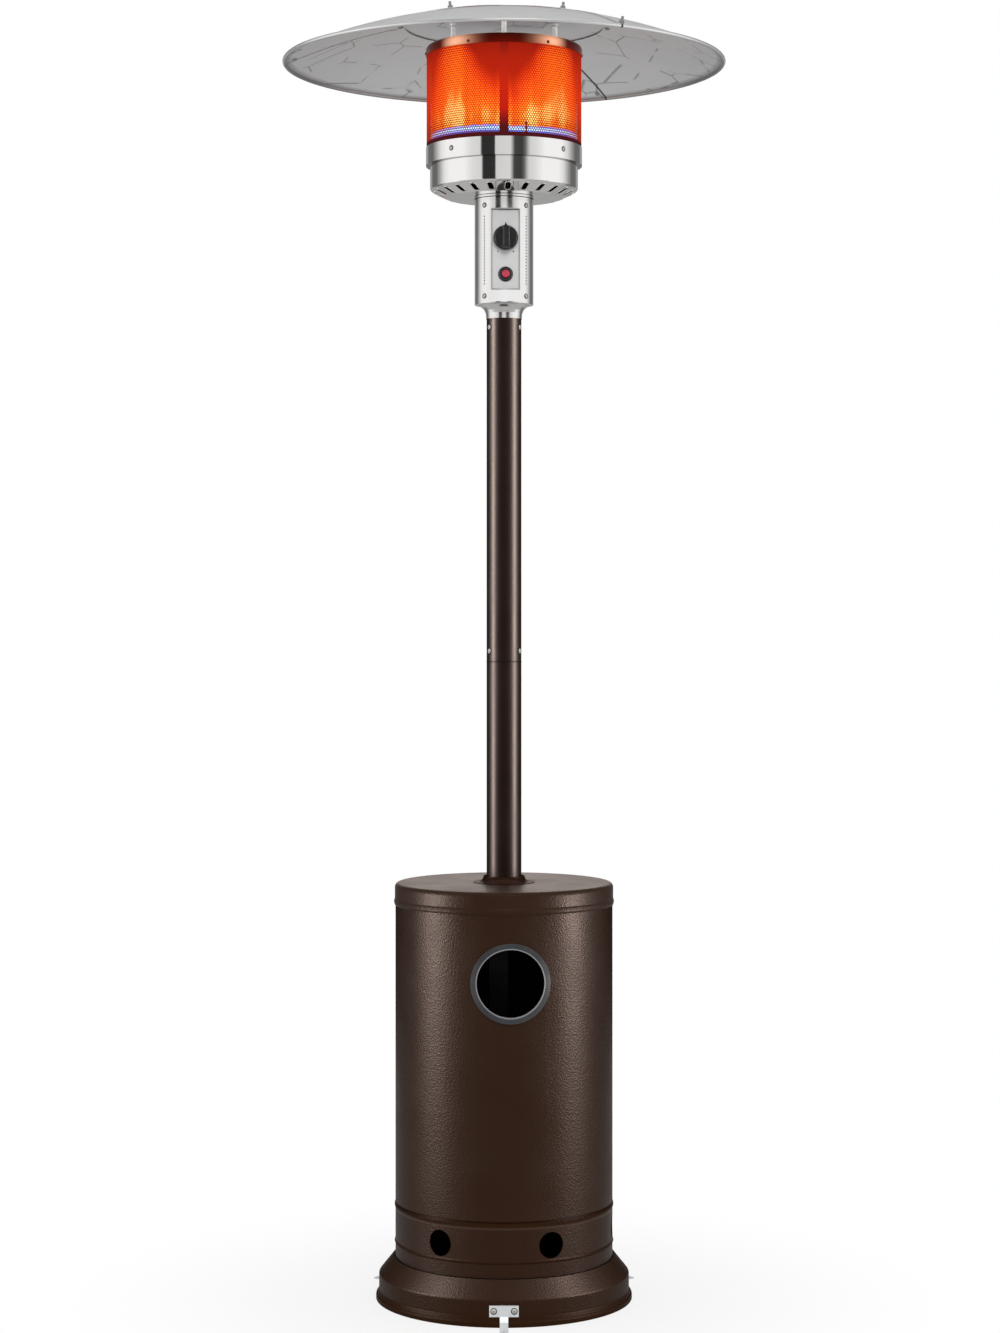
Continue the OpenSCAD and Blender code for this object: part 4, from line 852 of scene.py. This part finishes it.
seam_half = 1.76 * cell_w / screen_r
perforated_high = perforated_low + (rows - 1) * row_share * cell_r
strip_r, strip_sheet = screen_r + 0.00015, 0.0011
for name, shape in (
        ("screen_seam", curved_strip(screen_r + 0.0002, 0.0018, screen_low, screen_high,
                                     seam_turn - seam_half, seam_turn + seam_half, 6)),
        ("screen_foot", curved_strip(strip_r, strip_sheet, screen_low, perforated_low, count=150)),
        ("screen_head", curved_strip(strip_r, strip_sheet, perforated_high, screen_high, count=150))):
    strip = keep(name, shape, hot_outside)
    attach(strip, "stand")


# Flames: a low blue ring over the burner plate's slots and yellow tongues above it, inside the screen.
# They are thin curtains that fade out upwards.

def glow_only(name):
    """Starts a finish that reflects nothing and only glows."""
    return finish(name, Base_Color=(0, 0, 0, 1), Roughness=1.0, Specular_IOR_Level=0.0)


flame_power = 1.9
hot_gas, tree, shader = glow_only("hot_gas")
heat = heat_in(tree, 2.120, 2.285, 34.0)
burn = by_level(heat["Height"], [
    (0.0, 0.34), (0.10, 0.17), (0.19, 0.02), (0.27, 0.04), (0.40, 0.21), (0.60, 0.33), (0.86, 0.44),
    (1.0, 0.66)])
short = calc("SUBTRACT", 1.0, heat["Height"])
shorter = times(short, short)
lick = calc("MULTIPLY_ADD", heat["Streak"], -2.2, 1.1)
tongue = calc("MULTIPLY_ADD", lick, shorter, burn)
front_loss = times(heat["Front"], heat["Height"])
cooler = calc("MULTIPLY_ADD", front_loss, 0.95, tongue)
side_loss = calc("MULTIPLY_ADD", heat["Height"], 0.42, 0.16)
sided = calc("MULTIPLY_ADD", heat["Side"], side_loss, cooler)
drift = calc("MULTIPLY_ADD", heat_in(tree, 2.120, 2.285, 11.0)["Streak"], 0.9, -0.45)
glowing(shader, by_level(calc("ADD", sided, drift), [
    (0.0, (1.0, 0.60, 0.15)), (0.12, (1.0, 0.42, 0.075)), (0.24, (1.0, 0.20, 0.014)),
    (0.42, (1.0, 0.145, 0.009)), (0.60, (0.88, 0.095, 0.007)), (0.76, (0.62, 0.048, 0.005)),
    (0.90, (0.38, 0.020, 0.003)), (1.0, (0.24, 0.009, 0.002))]), flame_power)
blue_gas, tree, shader = glow_only("blue_gas")
heat = heat_in(tree, 2.1190, 2.1332, 70.0)
glowing(shader, by_level(heat["Height"], [
    (0.0, (0.05, 0.01, 0.08)), (0.25, (0.07, 0.20, 0.9)), (0.55, (0.50, 0.76, 1.0)),
    (1.0, (0.07, 0.16, 0.9))]), flame_power)
ragged = calc("MULTIPLY_ADD", heat["Streak"], 0.8, 0.70)
feed(shader, Alpha=remap(calc("SUBTRACT", ragged, heat["Height"]), 0.0, 0.3))
flame_bed, pilot_clear_r = 2.1100, 0.1205
for name, radius, top, gas in (("blue_flames", 0.1350, 2.1332, blue_gas),
                               ("yellow_flames", 0.1325, 2.2860, hot_gas)):
    shape = curved_strip(radius, 0.0006, flame_bed, top, count=120, dip=radius - pilot_clear_r)
    curtain = keep(name, shape, gas)
    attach(curtain, "stand")


# Screen cap: a pressed steel lid over the screen, held by six screws and scorched dark red by the heat, with
# a painted copper highlight, which also glows, on two bands at its front flanks.
# Three bright tubes stand on it and carry the reflector.

cap_heat_and_glint, tree, shader = finish("cap_heat_and_glint", Metallic=1.0)
tint = heat_in(tree, 2.276, 2.298, 9.0)
copper_glint = by_level(tint["Height"], [
    (0.0, (0.45, 0.10, 0.05)), (0.30, (0.90, 0.48, 0.33)), (0.62, (0.80, 0.40, 0.30)),
    (1.0, (0.10, 0.05, 0.045))])
scorched = by_level(tint["Height"], [
    (0.0, (0.30, 0.012, 0.005)), (0.30, (0.20, 0.012, 0.005)), (0.62, (0.12, 0.010, 0.006)),
    (1.0, (0.03, 0.015, 0.012))])
# Painted highlight: the flank bands get a copper colour and a copper glow, and the rest keeps the scorched
# tone.
feed(shader, Base_Color=blend(tint["Flank"], scorched, copper_glint))
uneven(shader, 40.0, 0.22, 0.36)
glowing(shader, blend(tint["Flank"], (0.02, 0.001, 0.0004), (0.75, 0.36, 0.20)), 0.8)
dress(cap_heat_and_glint, "screen_cap")
fit_screws("cap_screws", [around(30 + 60 * i, band_r, 2.2829) for i in range(6)],
           (0.0031, 0.0022, 0.002), 0.006, probe_steel, seat_share=0.9)
satin_tube = rolled_metal("satin_tube", (0.84, 0.84, 0.83), (0.90, 0.90, 0.89),
                          rough=(0.22, 0.30), lines=(400.0, 60.0), depth=0.04, metallic=0.1)
dress(satin_tube, "standoff_1", "standoff_2", "standoff_3")
standoff_r = 0.109
fit_screws("standoff_screws", [(around(turn, standoff_r, height)[0], Vector((0, 0, way)))
                               for turn in bracket_turns for height, way in ((2.3477, 1), (2.2954, -1))],
           large_screw, reach=0.016)


# Reflector: three lapped panels and a central disc of thin aluminium, bolted together through the laps.
# The flat-packed sheet keeps faint creases, and each panel's rim is rolled to a hem.

creases, given, out = effect("Creases", {"Scale": 6.0, "Width": 0.012}, ["Line", "Seam"])
level = level_in(creases)
folds = put(creases, "ShaderNodeTexVoronoi", {"Vector": level, "Scale": given["Scale"]},
            feature="DISTANCE_TO_EDGE")
line = remap(folds.outputs["Distance"], 0.0, given["Width"], 1.0, 0.0)
some = remap(noise(level, 15.0, 1.0), 0.46, 0.52)
lap_turn, laps, disc_edge = 26.5, 3, 0.185
lap_share = (lap_turn / 360 + 0.25) * laps
thirds = calc("MULTIPLY_ADD", turn_in(creases), float(laps), 0.5 - lap_share)
off_lap = calc("ADD", calc("FRACT", thirds), -0.5)
reach = vec_calc("LENGTH", level)
arc = times(calc("ABSOLUTE", off_lap), reach)
past_disc = calc("GREATER_THAN", reach, disc_edge)
lap_line = times(remap(arc, 0.0006, 0.0014, 1.0, 0.0), past_disc)
feed(out, Line=times(line, some), Seam=lap_line)

satin_aluminium, tree, shader = finish("satin_aluminium", Metallic=1.0)
fold = use(tree, creases, {"Scale": 11.0, "Width": 0.022})
tone = use(tree, grain, {"Across": 25.0, "Up": 25.0})["Tone"]
inner_tone = blend(tone, (0.90, 0.90, 0.90), (0.98, 0.98, 0.98))
outer_tone = blend(tone, (0.48, 0.48, 0.48), (0.54, 0.54, 0.54))
normal = put(tree, "ShaderNodeNewGeometry").outputs["True Normal"]
outside = remap(parts_of(normal)["Z"], -0.1, 0.1)
reach = reach_in(tree)
# Painted shade darkens the creases, most on the underside; the lap seams are drawn as dark joints.
sheet_fold = times(fold["Line"], remap(reach, 0.396, 0.398, 1.0, 0.0))
crease_shade_strength = remap(outside, 0.0, 1.0, 0.62, 0.10)
crease_shade_and_seam_lines = calc("MULTIPLY_ADD", sheet_fold, crease_shade_strength, fold["Seam"], clamp=True)
hem_part = times(remap(reach, 0.388, 0.400), remap(reach, 0.4030, 0.4040, 1.0, 0.0))
hem_shade = times(hem_part, remap(outside, 0.0, 1.0, 0.66, 0.0))
feed(shader, Base_Color=blend(outside, inner_tone, outer_tone))
lay_over(shader, crease_shade_and_seam_lines, (0.10, 0.10, 0.10))
lay_over(shader, hem_shade, (0.14, 0.14, 0.14))
uneven(shader, 12.0, 0.36, 0.46)
relief(shader, sheet_fold, 0.5, 0.001)
dress(satin_aluminium, "reflector_disc", "reflector_panel_1", "reflector_panel_2", "reflector_panel_3")
plated_bolt = rolled_metal("plated_bolt", (0.26, 0.26, 0.26), (0.36, 0.36, 0.36),
                           rough=(0.26, 0.38), lines=(400.0, 400.0), depth=0.05, metallic=0.4)
dress(plated_bolt, "reflector_bolts", "reflector_nuts")


# Floor and light: a pale floor, a soft white surround and one lamp for all. Tall strips light the painted
# pieces alone; short strips and a wash from behind light the lid, small lamps the stand-offs and the knob.
# The bare metal reflects a tent with light and dark cards.

def seen_in(tree):
    """Light path outputs, and a mask of the rays that see a surface, straight or in a reflection."""
    rays = put(tree, "ShaderNodeLightPath").outputs
    straight = calc("ADD", rays["Is Camera Ray"], rays["Is Glossy Ray"])
    return rays, calc("ADD", straight, rays["Is Transmission Ray"], clamp=True)


floor_shape = bmesh.new()
bmesh.ops.create_grid(floor_shape, x_segments=1, y_segments=1, size=30)
pale_floor, tree, shader = finish("pale_floor", Base_Color=(0.80, 0.80, 0.80, 1), Roughness=0.9)
rays, seen = seen_in(tree)
reach = vec_calc("LENGTH", place_in(tree))
contact_shade = remap(reach, 0.25, 0.9, 0.76, 1.0, "SMOOTHSTEP")
open_floor = times(contact_shade, remap(reach, 0.222, 0.230))
mirrored = remap(rays["Is Glossy Ray"], 0.0, 1.0, 1.0, 0.45)
white = put(tree, "ShaderNodeEmission", {"Strength": mirrored})
lit = put(tree, "ShaderNodeMixShader", {
    0: times(seen, open_floor), 1: shader.outputs[0], 2: white.outputs[0]})
feed(tree.nodes["Material Output"], Surface=lit.outputs[0])
floor = keep("floor", floor_shape, pale_floor)

world = bpy.data.worlds.new("soft_surround")
bpy.context.scene.world = world
world.use_nodes = True
tree = world.node_tree
surround = tree.nodes["Background"]
surround.inputs["Color"].default_value = (1, 1, 1, 1)
feed(surround, Strength=remap(seen_in(tree)[1], 0.0, 1.0, 0.92, 1.0))

camera_turn = -3.5


def softbox(name, turn, distance, height, width, tall, watts, aim=1.2, lights=None):
    """Area light at an angle from the camera's side, aimed at the post. It can light one group alone."""
    lamp = bpy.data.lights.new(name, "AREA")
    lamp.shape = "RECTANGLE"
    lamp.size, lamp.size_y, lamp.energy = width, tall, watts
    box = show(name, lamp)
    box.light_linking.receiver_collection = lights
    box.location = around(camera_turn + turn, distance, height)[0]
    box.rotation_euler = (Vector((0, 0, aim)) - box.location).to_track_quat("-Z", "Y").to_euler()
    return box


def group(name, *nodes):
    """Collection of CAD nodes for lamps to light or to leave out."""
    made = bpy.data.collections.new(name)
    for node in nodes:
        made.objects.link(frame["nodes"][node])
    return made


painted = group("painted", "base_pan", "lower_post", "upper_post", "housing_shell", "window_ring")
lid_only = group("lid_only", "housing_lid", "lid_collar")
standoffs = group("standoffs", "standoff_1", "standoff_2", "standoff_3")
knob_only = group("knob_only")
knob_only.objects.link(knob)
for side, turn in (("left", -75), ("right", 74)):
    for name, height, tall, watts, aim, receivers in (("_strip", 1.62, 2.7, 385, 1.2, painted),
                                                      ("_lid_strip", 0.38, 0.74, 112, 0.38, lid_only)):
        strip_light = softbox(side + name, turn, 2.4, height, 0.60, tall, watts, aim, receivers)
        strip_light.data.color = (1.0, 0.90, 0.84)
        strip_light.visible_diffuse = False
back_wash = softbox("back_wash", 180, 2.6, 1.35, width=1.6, tall=0.8, watts=4.2, aim=0.76, lights=lid_only)
back_wash.visible_diffuse = False
back_wash.data.color = (1.0, 0.84, 0.76)
for name, turn in (("left_low", -68), ("right_low", 68)):
    tube_light = softbox(name, turn, 3.0, 1.2, width=0.8, tall=0.8, watts=52, aim=2.32, lights=standoffs)
    tube_light.light_linking.blocker_collection = standoffs
softbox("front_fill", 10, 4.5, 4.2, width=2.0, tall=2.0, watts=55)
for name, turn in (("knob_left", -72), ("knob_right", 72)):
    softbox(name, turn, 2.4, knob_z, width=0.4, tall=1.0, watts=40, aim=knob_z, lights=knob_only)

tent_glow, tree, shader = glow_only("tent_glow")
shader.inputs["Emission Strength"].default_value = 1.0
cards = {-152: 0.36, -146: 0.16, -128: 0.14, -117: 0.40, -104: 0.85, -92: 1.0, -62: 1.0, -48: 0.80,
         -34: 0.74, -32.5: 0.03, -13: 0.03, -12: 0.70, 9: 0.75, 15: 0.06, 26: 0.05, 31: 0.14, 38: 0.72,
         48: 0.80, 62: 1.0, 92: 1.0, 104: 0.80, 117: 0.36, 128: 0.14, 146: 0.16, 152: 0.36}
placed = sorted((((camera_turn + turn) / 360 + 0.25) % 1, tone) for turn, tone in cards.items())
feed(shader, Emission_Color=by_level(turn_in(tree), placed))
tent = keep("light_tent", curved_strip(3.2, 0.01, 0.0, 4.4, count=90), tent_glow)
tent.visible_camera = False
tent.visible_diffuse = False
tent.visible_shadow = False
tent.visible_transmission = False
unmirrored = group("unmirrored", "base_pan", "lower_post", "upper_post", "housing_shell", "lid_collar")
for item in unmirrored.collection_objects:
    item.light_linking.link_state = "EXCLUDE"
tent.light_linking.receiver_collection = unmirrored


# Camera: level, a little above the heater's middle, as far back as the photograph's perspective asks.
# The lens and shift are worked out for a picture 1333 pixels tall; the shift brings the whole heater into
# the frame.

frame_h = 1333
focal_px = 2840
camera_data = bpy.data.cameras.new("camera")
camera = show("camera", camera_data)
camera_data.sensor_width = 36
camera_data.lens = focal_px / frame_h * camera_data.sensor_width
camera_data.shift_x = -4 / frame_h
camera_data.shift_y = -59.3 / frame_h
camera.location = around(camera_turn, 5.225, 1.2665)[0]
camera.rotation_euler = (pi / 2, 0, radians(camera_turn))
bpy.context.scene.camera = camera
bpy.context.scene.view_settings.view_transform = "Standard"
